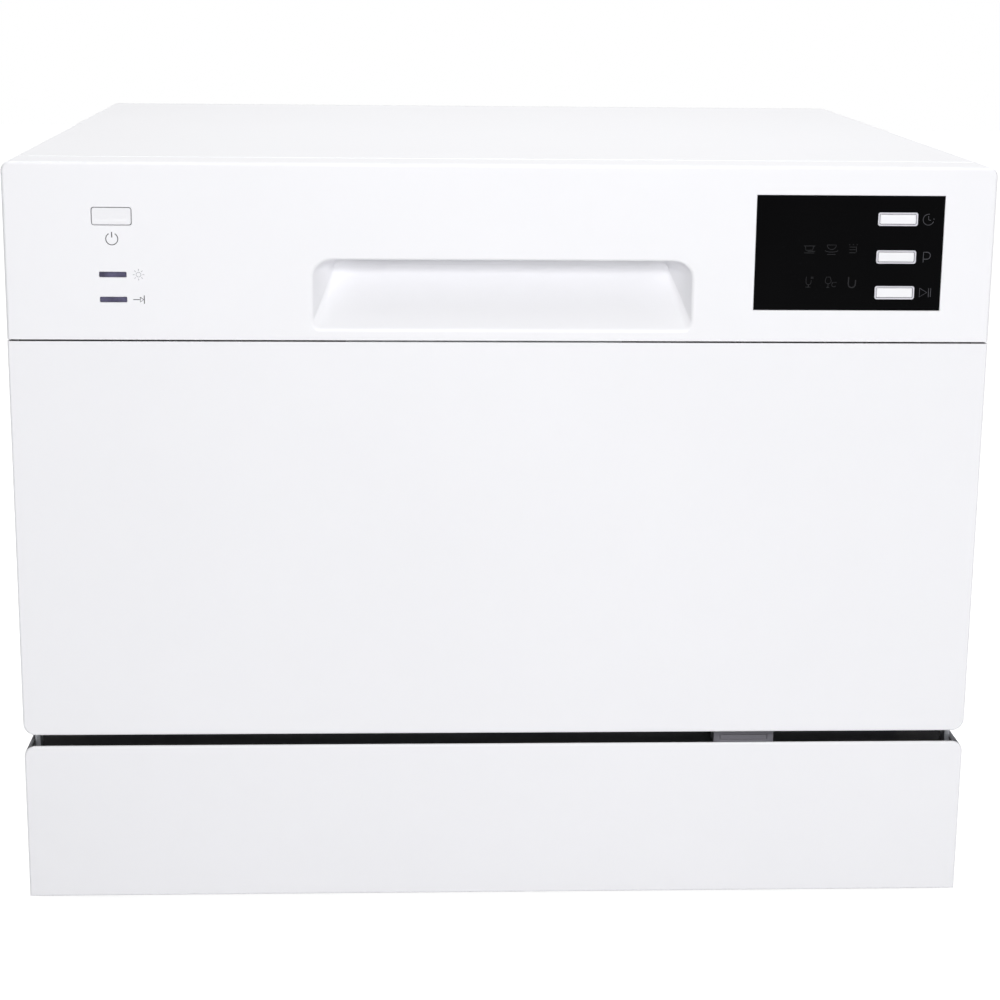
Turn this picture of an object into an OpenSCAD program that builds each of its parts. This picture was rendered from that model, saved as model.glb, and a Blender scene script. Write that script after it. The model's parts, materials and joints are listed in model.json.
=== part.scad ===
// Countertop dishwasher with a drop-down door, a wheeled basket and a control panel in the door.
// Millimetres. X to the right, Y to the rear, Z up. Origin on the counter, under the middle.

/* [Cabinet] */
// Width over the side panels
body_w = 550; // [520:1:580]
// Depth from the door face to the screw heads at the rear
body_d = 500; // [480:1:530]
// Height from the counter to the top
body_h = 438; // [434:1:470]
// Thickness of the white outer sheet steel
sheet_t = 1; // [0.8:0.1:1.2]
// Outer radius of the long top edges
edge_r = 5; // [4:0.5:7]
// Width of the lip round the mouth, on the sides
lip_side_w = 17; // [15:0.5:17]
// Width of the lip round the mouth, at the top
lip_top_w = 11; // [9:0.5:11]
// Width of the flange behind the rear panel
rear_flange_w = 12; // [11:0.5:16]
// Radius of a panel screw's shank
screw_r = 1.5; // [1.2:0.1:1.8]
// Radius of a panel screw's head
screw_head_r = 4; // [3:0.5:4.5]
// Height of a panel screw's head
screw_head_h = 1.5; // [1:0.1:2]
// Length of a panel screw under its head
screw_l = 9; // [6:1:12]
// Radial clearance of a screw in its hole
screw_gap = 0.1; // [0.05:0.05:0.3]

/* [Base] */
// Space under the cabinet, which the feet bridge
foot_h = 8; // [7:0.5:12]
// Height of the kick plate
kick_h = 93.5; // [90:0.5:95]
// Radius of the kick plate's top corners
kick_r = 6.5; // [4:0.5:9]
// Width of the kick plate's bottom return
kick_return_w = 12; // [6:1:16]
// Height of the tray's rim above the kick plate's lower edge
tray_h = 87; // [84:0.5:88]
// Wall of the plastic base tray
tray_wall = 2.5; // [2:0.1:3]
// Floor of the base tray
tray_floor_t = 3; // [2:0.5:4]
// Gap between the tray and the sheet metal round it
tray_gap = 0.5; // [0.3:0.1:1]
// Depth of the niche for the connections at the rear
niche_d = 31; // [28:1:34]
// Wall between that niche and the cabinet's side
niche_side = 35; // [30:1:45]
// Wall below and above the niche
niche_rim = 17; // [14:1:20]
// Middle of a foot from the cabinet's side
foot_side = 40; // [35:1:50]
// Middle of a foot from the cabinet's front or rear
foot_end = 50; // [49:1:55]
// Radius of a foot's rubber pad
pad_r = 17; // [14:1:20]
// Thickness of a foot's pad
pad_t = 6; // [4:0.5:6]
// Radius of a foot's threaded stem
stem_r = 4; // [3:0.5:5]
// Length of a foot's stem above its pad
stem_l = 40; // [30:1:45]
// Radial running clearance of a foot's stem
stem_gap = 0.08; // [0.05:0.01:0.1]
// Wall round the bore for a foot
boss_wall = 6; // [4:0.5:7]

/* [Door] */
// Thickness of the whole door
door_t = 35; // [33:0.5:38]
// Gap between the shut door and the cabinet's lip
door_gap = 1.5; // [1.5:0.1:2.5]
// Gap between the kick plate and the door
kick_gap = 6.5; // [6.5:0.1:8]
// Radius of the door's lower corners
door_r = 7; // [5:0.5:9]
// Height of the control panel
fascia_h = 98; // [96:1:104]
// Seam between the control panel and the door's lower sheet
seam = 1; // [0.6:0.1:1.5]
// Thickness of the stainless inner door
liner_t = 2; // [1.5:0.1:2.5]
// How far the inner door stays inside the outer one at its edge
liner_edge = 0.5; // [0.3:0.1:1]
// Hinge axis behind the door's face
hinge_in = 9; // [9:0.1:10]
// Hinge axis above the door's lower edge
hinge_up = 4; // [3.5:0.1:4.5]
// Radius of the hinge pin
hinge_pin_r = 3; // [2.5:0.1:3.5]
// Radial running clearance of the hinge
hinge_gap = 0.07; // [0.05:0.01:0.1]
// Wall of the hinge arm round its bore
hinge_eye_wall = 3.5; // [3:0.1:4]
// Thickness of the hinge arm and of its bracket
hinge_t = 3; // [2:0.5:4]
// Free space on both sides of the door's bottom return, for the hinges
hinge_zone = 20; // [18:1:24]
// Space between a hinge arm and the door's side return
arm_side = 10; // [9:0.5:12]
// Length of the hinge arm up the door
arm_l = 190; // [120:5:210]
// Width of the hinge arm's strip
arm_w = 10; // [8:1:12]
// Wiring guide's distance from the cabinet's right side
guide_side = 110; // [100:1:130]
// Width of the wiring guide
guide_w = 36; // [30:1:40]

/* [Control panel] */
// Front wall of the control panel
fascia_wall = 3; // [2.8:0.1:3.5]
// Side and top wall of the control panel
fascia_side = 2.5; // [2:0.1:3]
// Width of the handle's hollow
grip_w = 212; // [160:2:240]
// Lower edge of the hollow, above the panel's lower edge
grip_up = 6; // [5:0.5:10]
// Height of the hollow's opening
grip_h = 39; // [36:0.5:42]
// Depth of the hollow at its top
grip_d = 24; // [20:0.5:26]
// Radius of the hollow's top corners
grip_r = 10; // [6:0.5:12]
// Draft of the hollow's side walls over its depth
grip_draft = 12; // [6:0.5:16]
// Height of the finger space behind the lip
grip_hook = 9; // [6:0.5:11]
// Thickness of the lip that the fingers pull on
grip_lip = 4; // [3.5:0.1:5]
// Height of the hollow's rear wall where its slope starts
grip_rise = 34; // [30:0.5:36]
// Wall round the hollow
grip_wall = 2; // [1.5:0.1:2.5]
// Width of the black display window
window_w = 104.7; // [98:0.1:110]
// Height of the black display window
window_h = 64; // [62:0.5:68]
// Thickness of the black display window
window_t = 2; // [1.5:0.1:2.2]
// Window's middle from the cabinet's right side
window_side = 81.05; // [77:0.05:87]
// Window's lower edge above the panel's lower edge
window_up = 18; // [14:0.5:20]
// Clearance round the window, the frames, the buttons and the lenses
fit_gap = 0.2; // [0.1:0.05:0.3]

/* [Buttons] */
// Button column from the cabinet's right side
button_side = 54.7; // [51:0.1:61]
// Middle of the upper, the middle and the lower button above the panel's lower edge
button_up = [68.7, 47.6, 27.4];
// Width of a button's white frame
frame_w = 22.5; // [21:0.1:24]
// Height of a button's white frame
frame_h = 8; // [7.6:0.1:9]
// Width of a button's cap
cap_w = 19.3; // [16:0.1:19.6]
// Height of a button's cap
cap_h = 5.6; // [4.6:0.1:5.8]
// Thickness of a button's cap
cap_t = 2.5; // [2:0.1:3]
// Travel of a small button
button_travel = 1.2; // [0.8:0.1:1.6]
// Radius of a button's stem
button_stem_r = 1.6; // [1.2:0.1:2]
// Middle of the power button from the cabinet's left side
power_side = 59.3; // [50:0.1:70]
// Middle of the power button above the panel's lower edge
power_up = 69; // [64:0.5:78]
// Width of the power button
power_w = 21.6; // [18:0.1:26]
// Height of the power button
power_h = 9.7; // [8:0.1:12]
// Travel of the power button
power_travel = 2; // [1:0.1:2.4]
// Width of an indicator lens
lens_w = 15; // [12:0.5:18]
// Height of an indicator lens
lens_h = 2.9; // [2.5:0.1:4]
// Middle of the two indicator lenses above the panel's lower edge
lens_up = [36.9, 22.7];
// Thickness of the circuit board behind the panel
board_t = 1.6; // [1.2:0.1:2]
// Distance of the circuit board from the panel's face
board_in = 14; // [13:0.5:16]
// Height of a switch on the board
switch_h = 1.8; // [1.5:0.1:2]

/* [Tub] */
// Distance from the cabinet's side to the tub's inner wall
tub_side = 30; // [28:1:33]
// Distance from the rear panel to the tub's inner wall
tub_rear = 43; // [41:1:53]
// Height of the tub's floor above the kick plate
tub_up = 30.5; // [28.5:0.5:31.5]
// Distance from the cabinet's top to the tub's top
tub_over = 20; // [20:1:26]
// Thickness of the stainless tub
tub_t = 1; // [0.8:0.1:1.2]
// Thickness of the tub's plastic floor
tub_floor_t = 3; // [2.5:0.1:4]
// Width of the flange at the tub's mouth, on the sides
flange_side_w = 24; // [22:0.5:25]
// Width of the flange at the tub's mouth, at the top
flange_top_w = 15; // [14:0.5:16]
// Distance of the seal from the mouth's edge
seal_off = 2.5; // [2:0.1:3]
// Width of the seal
seal_w = 5; // [4:0.1:5.5]
// Gap between the seal and the shut door
seal_gap = 0.2; // [0.15:0.05:0.3]
// Height of the lower seal
sill_h = 12; // [8:0.5:13]
// Radius of the well in the tub's floor
well_r = 92; // [88:0.5:98]
// Height of the rails' rolling face above the tub's floor
rail_up = 8.7; // [8:0.1:9]
// Width of the rails
rail_w = 11; // [9:0.5:12]
// Thickness of the rails
rail_t = 3; // [2:0.5:4]

/* [Basket] */
// Radius of the basket's thin wires
wire_r = 1.25; // [1:0.05:1.5]
// Radius of the basket's rim wire
rim_r = 2.25; // [1.8:0.05:2.5]
// Distance from the tub's wall to the basket's floor
basket_side = 21; // [19:1:30]
// Distance from the tub's rear wall to the basket's floor
basket_rear = 34; // [32:1:50]
// Gap between the tub's mouth and the basket's rim
basket_front = 9; // [8.5:0.5:12]
// Lean of the basket's front
basket_lean = 43; // [42:0.5:46]
// Lean of the basket's rear
rear_lean = 18; // [8:0.5:22]
// Lean of the basket's sides
side_lean = 6; // [4:0.5:7]
// Height of the basket's floor above the tub's floor
basket_up = 30; // [29.5:0.5:31]
// Height of the basket's rim above its floor
basket_h = 81; // [74:1:90]
// How deep two crossing wires are welded into each other
weld = 0.6; // [0.4:0.05:0.8]
// Lengthwise wires on each side of the basket's middle one
side_wires = 7; // [6:1:8]
// Spaces between the basket's crosswise wires
cross_spaces = 8; // [7:1:9]
// Height of the plate tines above the basket's floor
tine_h = 68; // [50:1:76]
// Rows of plate tines, from the tub's middle
tine_rows = [-38, 4, 88, 130];
// Radius of a basket wheel
wheel_r = 12; // [10:0.5:12]
// Width of a basket wheel
wheel_w = 7; // [5:0.5:8]
// Radius of a basket wheel's axle
axle_r = 2; // [1.6:0.1:2.5]
// Radial running clearance of a basket wheel
axle_gap = 0.07; // [0.05:0.01:0.1]
// Gap between a wheel and its rail
wheel_gap = 0.3; // [0.2:0.05:0.4]
// Front axle from the tub's mouth
wheel_front = 111.5; // [111:0.5:118]
// Distance between the front and the rear axle
wheel_base = 220; // [180:2:236]
// Length of the cup shelf along the basket
shelf_l = 180; // [150:2:210]
// Reach of the cup shelf
shelf_reach = 88; // [70:1:92]
// Height of the cup shelf's hinge above the rim
shelf_up = 7.5; // [7:0.5:9]
// Radial running clearance of the cup shelf's rod
shelf_gap = 0.08; // [0.05:0.01:0.1]

/* [Cutlery basket] */
// Width of the cutlery basket
cutlery_w = 94; // [80:1:96]
// Depth of the cutlery basket
cutlery_d = 90; // [70:1:92]
// Height of the cutlery basket
cutlery_h = 118; // [90:1:122]
// Wall of the cutlery basket
cutlery_t = 2; // [1.6:0.1:2.4]
// Gap between the cutlery basket and the side of the basket's floor
cutlery_side = 10; // [9:1:17]
// Gap between the cutlery basket and the front of the basket's floor
cutlery_front = 10; // [8:0.5:14]
// Width of the cutlery basket's slots
cutlery_slot = 3.4; // [3:0.1:3.6]

/* [Wash system] */
// Gap between the spray arm's tip and the tub's front or rear
arm_gap = 23; // [22:1:58]
// Height of the spray arm's underside above the tub's floor
spray_up = 9; // [8.6:0.1:9.5]
// Thickness of the spray arm
spray_t = 12; // [8:0.5:12]
// Radius of the spray arm's pivot
pivot_r = 8; // [6:0.5:9]
// Radial running clearance of the spray arm
pivot_gap = 0.08; // [0.05:0.01:0.1]
// Radius of the hub's pipe
hub_r = 14; // [12:0.5:15]
// Radius of the filter cup
filter_r = 26.5; // [24:0.5:28]
// Distance from the spray arm's axis to the filter cup's axis
filter_y = 56; // [54:0.5:58]
// Height of the filter cup under the filter plate
filter_h = 70; // [50:1:72]
// Thickness of the filter plate
plate_t = 2; // [1.5:0.1:2.5]
// Wall of the sump
sump_t = 3; // [2.5:0.1:4]
// Depth of the sump's bowl
bowl_h = 31; // [28:0.5:34]
// Radius of the float's cap
float_r = 18; // [14:0.5:19]
// Travel of the float
float_travel = 10; // [6:0.5:10]
// Float's middle from the tub's left wall
float_side = 93; // [60:1:100]
// Float's middle from the tub's mouth
float_front = 58; // [50:1:64]
// Radius of the wash pump's motor
motor_r = 32; // [26:0.5:34]
// Length of the wash pump's motor
motor_l = 90; // [70:1:110]
// Radius of the drain pump
drain_pump_r = 22; // [18:0.5:26]
// Length of the drain pump
drain_pump_l = 60; // [50:1:70]
// Length of the drain pump's outlet
drain_stub_l = 12; // [10:1:16]
// Radius of the water heater
heater_r = 18; // [15:0.5:22]
// Length of the water heater
heater_l = 90; // [60:1:100]
// Outer radius of the circulation hose
circ_r = 10; // [9:0.5:12]
// Outer radius of the drain hose
drain_r = 9; // [8:0.5:10]
// Outer radius of the inlet hose
inlet_r = 6; // [5:0.5:8]
// Wall of the hoses
hose_t = 2; // [1.5:0.1:2.5]
// Height of the pumps' and hoses' axes above the tray's floor
plumb_up = 51; // [48:1:54]

/* [Connections] */
// Radius of the inlet's thread, a 3/4 inch pipe thread
thread_r = 13.2; // [13:0.05:13.4]
// Length of the inlet's threaded stub behind its wall
thread_l = 20; // [12:0.5:24]
// Inlet from the cabinet's right side
inlet_side = 80; // [70:1:95]
// Outer radius of the drain outlet
outlet_r = 10; // [9:0.5:12]
// Length of the drain outlet behind its wall
outlet_l = 22; // [16:0.5:26]
// Drain outlet from the cabinet's left side
outlet_side = 155; // [140:1:175]
// Radius of the bore for the mains cord
gland_bore_r = 4; // [3:0.25:5]
// Radius of the gland's flange
gland_r = 10; // [9:0.5:12]
// Cord gland from the cabinet's left side
gland_side = 75; // [65:1:95]
// Height of the connections above the tray's floor
connect_up = 51; // [48:1:53]

/* [Dispenser] */
// Width of the detergent dispenser
disp_w = 156; // [150:1:170]
// Height of the detergent dispenser
disp_h = 90; // [86:1:90]
// Dispenser's middle from the door's middle
disp_x = -10; // [-20:1:5]
// Gap between the dispenser and the control panel above it
disp_down = 2; // [1:1:4]
// How far the dispenser reaches into the tub
disp_out = 6; // [4:0.5:7]
// How deep the dispenser sits in the door
disp_in = 24; // [20:0.5:25]
// Width of the detergent cup
cup_w = 74; // [60:1:78]
// Height of the detergent cup
cup_h = 58; // [50:1:60]
// Wall of the dispenser
disp_t = 2; // [1.5:0.1:2.5]
// Thickness of the dispenser's lid
lid_t = 3; // [2:0.1:3.5]
// Radius of the lid's pivot
lid_pin_r = 1.5; // [1.2:0.1:1.8]
// Radial running clearance of the lid's pivot
lid_gap = 0.06; // [0.05:0.01:0.1]
// Radius of the rinse aid cap
rinse_r = 14; // [12:0.5:16]
// Travel of the dispenser's latch
latch_travel = 5; // [3:0.5:6]

/* [Hidden] */
$fn = 64;

// How far a cutting shape reaches past the face that it cuts
past = 1;
// Sides of a wire
wire_fn = 6;

// Planes across the depth, from front to rear
front_y = -body_d / 2;
rear_y = body_d / 2;
door_back_y = front_y + door_t;
liner_y = door_back_y - liner_t;
lip_y = door_back_y + door_gap;
flange_y = lip_y + sheet_t;
tub_y = flange_y + tub_t;
panel_y = rear_y - screw_head_h - sheet_t;
tub_back_y = panel_y - tub_rear;
tub_d = tub_back_y - tub_y;
wrap_d = panel_y - lip_y;

// Heights
kick_top = foot_h + kick_h;
tray_top = foot_h + tray_h;
tray_inner_z = foot_h + tray_floor_t;
door_z = kick_top + kick_gap;
fascia_z = body_h - fascia_h;
hinge_y = front_y + hinge_in;
hinge_z = door_z + hinge_up;
tub_z = kick_top + tub_up;
tub_top = body_h - tub_over;
tub_w = body_w - 2 * tub_side;
mouth_w = body_w - 2 * lip_side_w;
mouth_top = body_h - lip_top_w;
seal_bottom = hinge_z + hinge_up;

// The feet, the base tray, and the niche in its rear
foot_x = body_w / 2 - foot_side;
foot_y = body_d / 2 - foot_end;
niche_w = body_w - 2 * niche_side;
inlet_x = body_w / 2 - inlet_side;
outlet_x = -body_w / 2 + outlet_side;
gland_x = -body_w / 2 + gland_side;
tray_w = body_w - 2 * sheet_t - 2 * tray_gap;
tray_y = front_y + sheet_t + tray_gap;
tray_rear_y = panel_y - sheet_t - tray_gap;
niche_y = tray_rear_y - niche_d;
connect_z = tray_inner_z + connect_up;
plumb_z = tray_inner_z + plumb_up;

// The spray arm's axis, the well and the filter
hub_y = tub_y + tub_d / 2;
arm_reach = tub_d / 2 - arm_gap;
float_x = -tub_w / 2 + float_side;
float_y = tub_y + float_front;
cup_y = hub_y - filter_y;
cup_room = 0.5;
plate_top = tub_z - plate_t;
bowl_top = tub_z - tub_floor_t;
bowl_z = bowl_top - bowl_h;
pit_r = filter_r + cup_room + sump_t + plate_t;
pit_z = plate_top - filter_h - sump_t - 2 * plate_t;
spray_z = tub_z + spray_up;
stub_l = 18;
neck_l = 18;
volute_w = 28;
outlet_w = 22;
foot_in = 14;
pump_foot_l = 50;
pump_foot_w = 24;
heater_x = pit_r + stub_l + neck_l + volute_w / 2;
float_stem_r = 4;
float_gap = 0.3;
port_r = 11;
breather_t = 21;
breather_x = (tub_w / 2 + tub_t + body_w / 2 - sheet_t) / 2;
breather_z = tub_z + 28;
breather_y = hub_y + 0.1 * tub_d;
breather_d = 0.36 * tub_d;
breather_h = tub_top - 28 - breather_z;
port_y = hub_y + 0.24 * tub_d;
port_z = tub_z + 70;
hose_turn = 20;

// The box with the mains terminals
terminal_left = 18;
terminal_right = 34;
terminal_d = 56;
terminal_up = 16;
terminal_t = 2;

// The hinges
arm_x = body_w / 2 - sheet_t - arm_side;
bracket_x = tray_w / 2 - tray_wall - hinge_t;
neck_y = hinge_y + hinge_pin_r + 5;
neck_w = 10;

// The basket and its wheels
floor_z = tub_z + basket_up;
cross_z = floor_z - 2 * wire_r + weld;
rim_z = floor_z + basket_h;
basket_w = tub_w - 2 * basket_side;
rim_w = basket_w + 2 * side_lean;
rim_y = tub_y + basket_front;
floor_y = rim_y + basket_lean;
floor_rear_y = tub_back_y - basket_rear;
basket_d = floor_rear_y - floor_y;
wire_pitch = basket_w / 2 / side_wires;
cross_pitch = basket_d / cross_spaces;
cutlery_x = basket_w / 2 - cutlery_side - cutlery_w / 2;
rim_rear_y = floor_rear_y + rear_lean;
axle_z = tub_z + rail_up + wheel_gap + wheel_r;
axle_y = tub_y + wheel_front;
wheel_side = 2.5;
wheel_x = tub_w / 2 - wheel_side - wheel_w;
hanger_t = 3;
shelf_x = -rim_w / 2 + 3;
shelf_z = rim_z + shelf_up;
rod_r = 1.5;
clip_w = 6;
clip_y = shelf_l / 3;

// The dispenser in the inner door
disp_y = door_back_y + disp_out;
disp_z = fascia_z - disp_down - disp_h;
disp_flange = 4;
cup_x = disp_x + disp_w / 2 - cup_w - 8;
cup_z = disp_z + disp_h / 2 - cup_h / 2;
lid_play = 0.2;
lid_barrel_r = lid_pin_r + 1;
lid_y = disp_y + lid_play + lid_barrel_r;
lid_z = cup_z + cup_h + 6;
rinse_x = cup_x - rinse_r - 18;
rinse_z = disp_z + disp_h / 2;
latch_w = 16;
latch_h = 7;

// The control panel
grip_z = fascia_z + grip_up;
window_x = body_w / 2 - window_side;
button_x = body_w / 2 - button_side;
power_x = -body_w / 2 + power_side;
window_z = fascia_z + window_up;
cap_back_y = front_y + cap_t;
board_y = front_y + board_in;
board_posts = [
    for (x = [window_x - window_w / 2 - 2, window_x + window_w / 2 + 2],
         z = [window_z - 1, window_z + window_h + 1]) [x, z],
    for (x = [power_x - 20, power_x + 20], z = [window_z - 1, window_z + window_h + 1]) [x, z]
];
lock_w = 40;
lock_slot_w = 24;
lock_slot_z = mouth_top - 1;
lock_slot_h = 8;
strike_w = 12;
strike_t = 2.4;
strike_z = lock_slot_z + lock_slot_h / 2 - strike_t / 2 + 0.2;

// Screws of the rear panel as [x, z], and of the inner door as [x, z] on its right half
rear_screws = [
    for (x = [-body_w * 0.37, 0, body_w * 0.37]) [x, body_h - sheet_t - rear_flange_w / 2],
    for (s = [-1, 1], z = [tray_top + 40, body_h / 2 + 50])
        [s * (body_w / 2 - sheet_t - rear_flange_w / 2), z]
];
liner_screw_x = body_w / 2 - 8;
liner_screw_z = [for (f = [0.092, 0.368, 0.644, 0.92]) hinge_z + f * (body_h - hinge_z)];
liner_head_h = 0.8;

// Copies its children to the other side of the cabinet's middle
module both_sides() {
    children();
    mirror([1, 0, 0]) children();
}

// Extrudes an outline drawn in X and Z from y along +Y
module upright(y, length) {
    translate([0, y + length, 0]) rotate([90, 0, 0]) linear_extrude(length) children();
}

// Extrudes an outline drawn in Y and Z from x along +X
module sideways(x, length) {
    translate([x, 0, 0]) rotate([90, 0, 90]) linear_extrude(length) children();
}

// A box given by its lowest corner and its highest corner
module block(low, high) {
    translate(low) cube(high - low);
}

// A cylinder along X that starts at a point
module rod_x(at, length, radius) {
    translate(at) rotate([0, 90, 0]) cylinder(h = length, r = radius);
}

// A cylinder along Y that starts at a point
module rod_y(at, length, radius) {
    translate(at) rotate([-90, 0, 0]) cylinder(h = length, r = radius);
}

// A rectangle on the X axis with two round top corners
module round_top(width, height, radius) {
    union() {
        translate([-width / 2, 0]) square([width, height - radius]);
        translate([-width / 2 + radius, 0]) square([width - 2 * radius, height]);
        for (s = [-1, 1]) translate([s * (width / 2 - radius), height - radius]) circle(radius);
    }
}

// A rectangle on the X axis with two round bottom corners
module round_bottom(width, height, radius) {
    translate([0, height]) mirror([0, 1]) round_top(width, height, radius);
}

// A straight wire between two points
module wire(from, to, radius, sides = wire_fn) {
    run = to - from;
    flat = norm([run[0], run[1]]);
    translate(from) rotate([0, atan2(flat, run[2]), atan2(run[1], run[0])])
        cylinder(h = norm(run), r = radius, $fn = sides);
}

// A run of straight tubes with round elbows through a list of points
module tube_run(points, radius) {
    for (i = [0:len(points) - 2]) {
        run = points[i + 1] - points[i];
        flat = norm([run[0], run[1]]);
        translate(points[i]) rotate([0, atan2(flat, run[2]), atan2(run[1], run[0])])
            cylinder(h = norm(run), r = radius);
        if (i > 0) translate(points[i]) sphere(radius);
    }
}

// The outer sheet: both sides and the top in one piece, with a lip at each end
module cabinet_wrap() {
    color("white") difference() {
        upright(lip_y, wrap_d) translate([0, foot_h]) round_top(body_w, body_h - foot_h, edge_r);
        upright(lip_y + sheet_t, wrap_d - 2 * sheet_t) translate([0, foot_h - past])
            round_top(body_w - 2 * sheet_t, body_h - foot_h + past - sheet_t, edge_r - sheet_t);
        block([-mouth_w / 2, lip_y - past, foot_h - past], [mouth_w / 2, flange_y + past, mouth_top]);
        block([-body_w / 2 + sheet_t, lip_y - past, foot_h - past],
            [body_w / 2 - sheet_t, flange_y + past, tray_top + tray_gap]);
        block([-body_w / 2 + sheet_t + rear_flange_w, panel_y - sheet_t - past, foot_h - past],
            [body_w / 2 - sheet_t - rear_flange_w, panel_y + past, body_h - sheet_t - rear_flange_w]);
        block([-lock_w / 2 - past, lip_y - past, mouth_top - past],
            [lock_w / 2 + past, flange_y + past, body_h - sheet_t - 1]);
        for (s = rear_screws)
            rod_y([s[0], panel_y - sheet_t - past, s[1]], sheet_t + 2 * past, screw_r + screw_gap);
    }
}

// The flat sheet that closes the rear
module rear_panel() {
    color("gainsboro") difference() {
        upright(panel_y, sheet_t) translate([0, tray_top]) round_top(body_w, body_h - tray_top, edge_r);
        for (s = rear_screws)
            rod_y([s[0], panel_y - past, s[1]], sheet_t + 2 * past, screw_r + screw_gap);
    }
}

// The screws that hold the rear panel
module body_screws() {
    color("silver") for (s = rear_screws) {
        rod_y([s[0], panel_y + sheet_t, s[1]], screw_head_h, screw_head_r);
        rod_y([s[0], panel_y + sheet_t - screw_l, s[1]], screw_l + past / 2, screw_r);
    }
}

// The black plastic base that carries the tub, the pumps and the feet
module base_tray() {
    half = tray_w / 2;
    niche_low = foot_h + niche_rim;
    niche_high = tray_top - tray_wall;
    color("#1a1a1c") difference() {
        union() {
            difference() {
                block([-half, tray_y, foot_h], [half, tray_rear_y, tray_top]);
                block([-half + tray_wall, tray_y + tray_wall, tray_inner_z],
                    [half - tray_wall, tray_rear_y - tray_wall, tray_top + past]);
            }
            // Ledge at the front, closed up to the tub's apron
            block([-half, tray_y, tray_top - tray_wall], [half, tub_y + tray_wall, tray_top]);
            // Walls of the niche
            block([-niche_w / 2 - tray_wall, niche_y - tray_wall, niche_low - tray_wall],
                [niche_w / 2 + tray_wall, tray_rear_y, tray_top]);
            // Columns over the feet, up to the tub's floor
            for (x = [-foot_x, foot_x], y = [-foot_y, foot_y])
                translate([x, y, foot_h]) cylinder(h = bowl_top - foot_h, r = stem_r + boss_wall);
        }
        block([-niche_w / 2, niche_y, niche_low], [niche_w / 2, tray_rear_y + past, niche_high]);
        block([-half - past, tray_y - past, foot_h - past],
            [half + past, front_y + kick_return_w + tray_gap, foot_h + sheet_t + tray_gap / 2]);
        for (x = [-foot_x, foot_x], y = [-foot_y, foot_y])
            translate([x, y, foot_h - past]) cylinder(h = stem_l + 3 * past, r = stem_r + stem_gap);
        both_sides() block([bracket_x - tray_gap, neck_y - tray_gap, tray_top - tray_wall - past],
            [bracket_x + hinge_t, neck_y + neck_w + tray_gap, tray_top + past]);
        rod_y([inlet_x, niche_y - tray_wall - past, connect_z], tray_wall + 2 * past, thread_r + fit_gap);
        rod_y([outlet_x, niche_y - tray_wall - past, connect_z], tray_wall + 2 * past, outlet_r + fit_gap);
        rod_y([gland_x, niche_y - tray_wall - past, connect_z], tray_wall + 2 * past,
            gland_bore_r + 2 * screw_gap + 3);
    }
}

// The white plate under the door
module kick_plate() {
    depth = lip_y - door_gap / 2 - front_y;
    color("white") difference() {
        upright(front_y, depth) translate([0, foot_h]) round_top(body_w, kick_h, kick_r);
        block([-body_w / 2 + sheet_t, front_y + sheet_t, foot_h + sheet_t],
            [body_w / 2 - sheet_t, front_y + depth + past, kick_top + past]);
        block([-body_w / 2 + sheet_t, front_y + kick_return_w, foot_h - past],
            [body_w / 2 - sheet_t, front_y + depth + past, kick_top + past]);
    }
}

// The stainless tub: sides, top and the flange round the mouth
module tub_wrap() {
    half = tub_w / 2;
    flange_half = half + flange_side_w;
    color("silver") difference() {
        union() {
            both_sides() block([half, flange_y, bowl_top], [half + tub_t, tub_back_y, tub_top + tub_t]);
            block([-half - tub_t, flange_y, tub_top], [half + tub_t, tub_back_y, tub_top + tub_t]);
            difference() {
                block([-flange_half, flange_y, tray_top],
                    [flange_half, tub_y, tub_top + flange_top_w]);
                block([-half, flange_y - past, tray_top - past], [half, tub_y + past, tub_top]);
            }
        }
        rod_x([half - past, port_y, port_z], tub_t + 2 * past, port_r + fit_gap);
    }
}

// The rear wall of the tub
module tub_back() {
    color("silver") block([-tub_w / 2 - tub_t, tub_back_y, bowl_top],
        [tub_w / 2 + tub_t, tub_back_y + tub_t, tub_top + tub_t]);
}

// The tub's floor with its well, and the apron under its front edge
module tub_floor() {
    half = tub_w / 2;
    color("lightgray") difference() {
        union() {
            block([-half, tub_y, bowl_top], [half, tub_back_y, tub_z]);
            block([-half, flange_y, tray_top], [half, tub_y, tub_z]);
        }
        translate([0, hub_y, bowl_top - past]) cylinder(h = tub_floor_t + 2 * past, r = well_r);
        translate([float_x, float_y, bowl_top - past])
            cylinder(h = tub_floor_t + 2 * past, r = float_stem_r + float_gap);
    }
}

// The rubber seal at the sides and the top of the mouth
module tub_seal() {
    inner = tub_w / 2 + seal_off;
    outer = inner + seal_w;
    low = door_back_y + seal_gap;
    color("#3c3c3e") difference() {
        block([-outer, low, seal_bottom], [outer, flange_y, tub_top + seal_off + seal_w]);
        block([-inner, low - past, seal_bottom - past], [inner, flange_y + past, tub_top + seal_off]);
    }
}

// The rubber strip under the mouth
module sill_seal() {
    half = tub_w / 2 + seal_off - fit_gap;
    color("#3c3c3e") block([-half, door_back_y + seal_gap * 2, seal_bottom],
        [half, flange_y, seal_bottom + sill_h]);
}

// The two rails that the basket rolls on
module basket_rails() {
    top = tub_z + rail_up;
    color("lightgray") both_sides() {
        block([tub_w / 2 - rail_w, tub_y + 6, top - rail_t], [tub_w / 2, tub_back_y - 10, top]);
        block([tub_w / 2 - rail_t, tub_y + 6, tub_z], [tub_w / 2, tub_back_y - 10, top]);
    }
}

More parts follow.
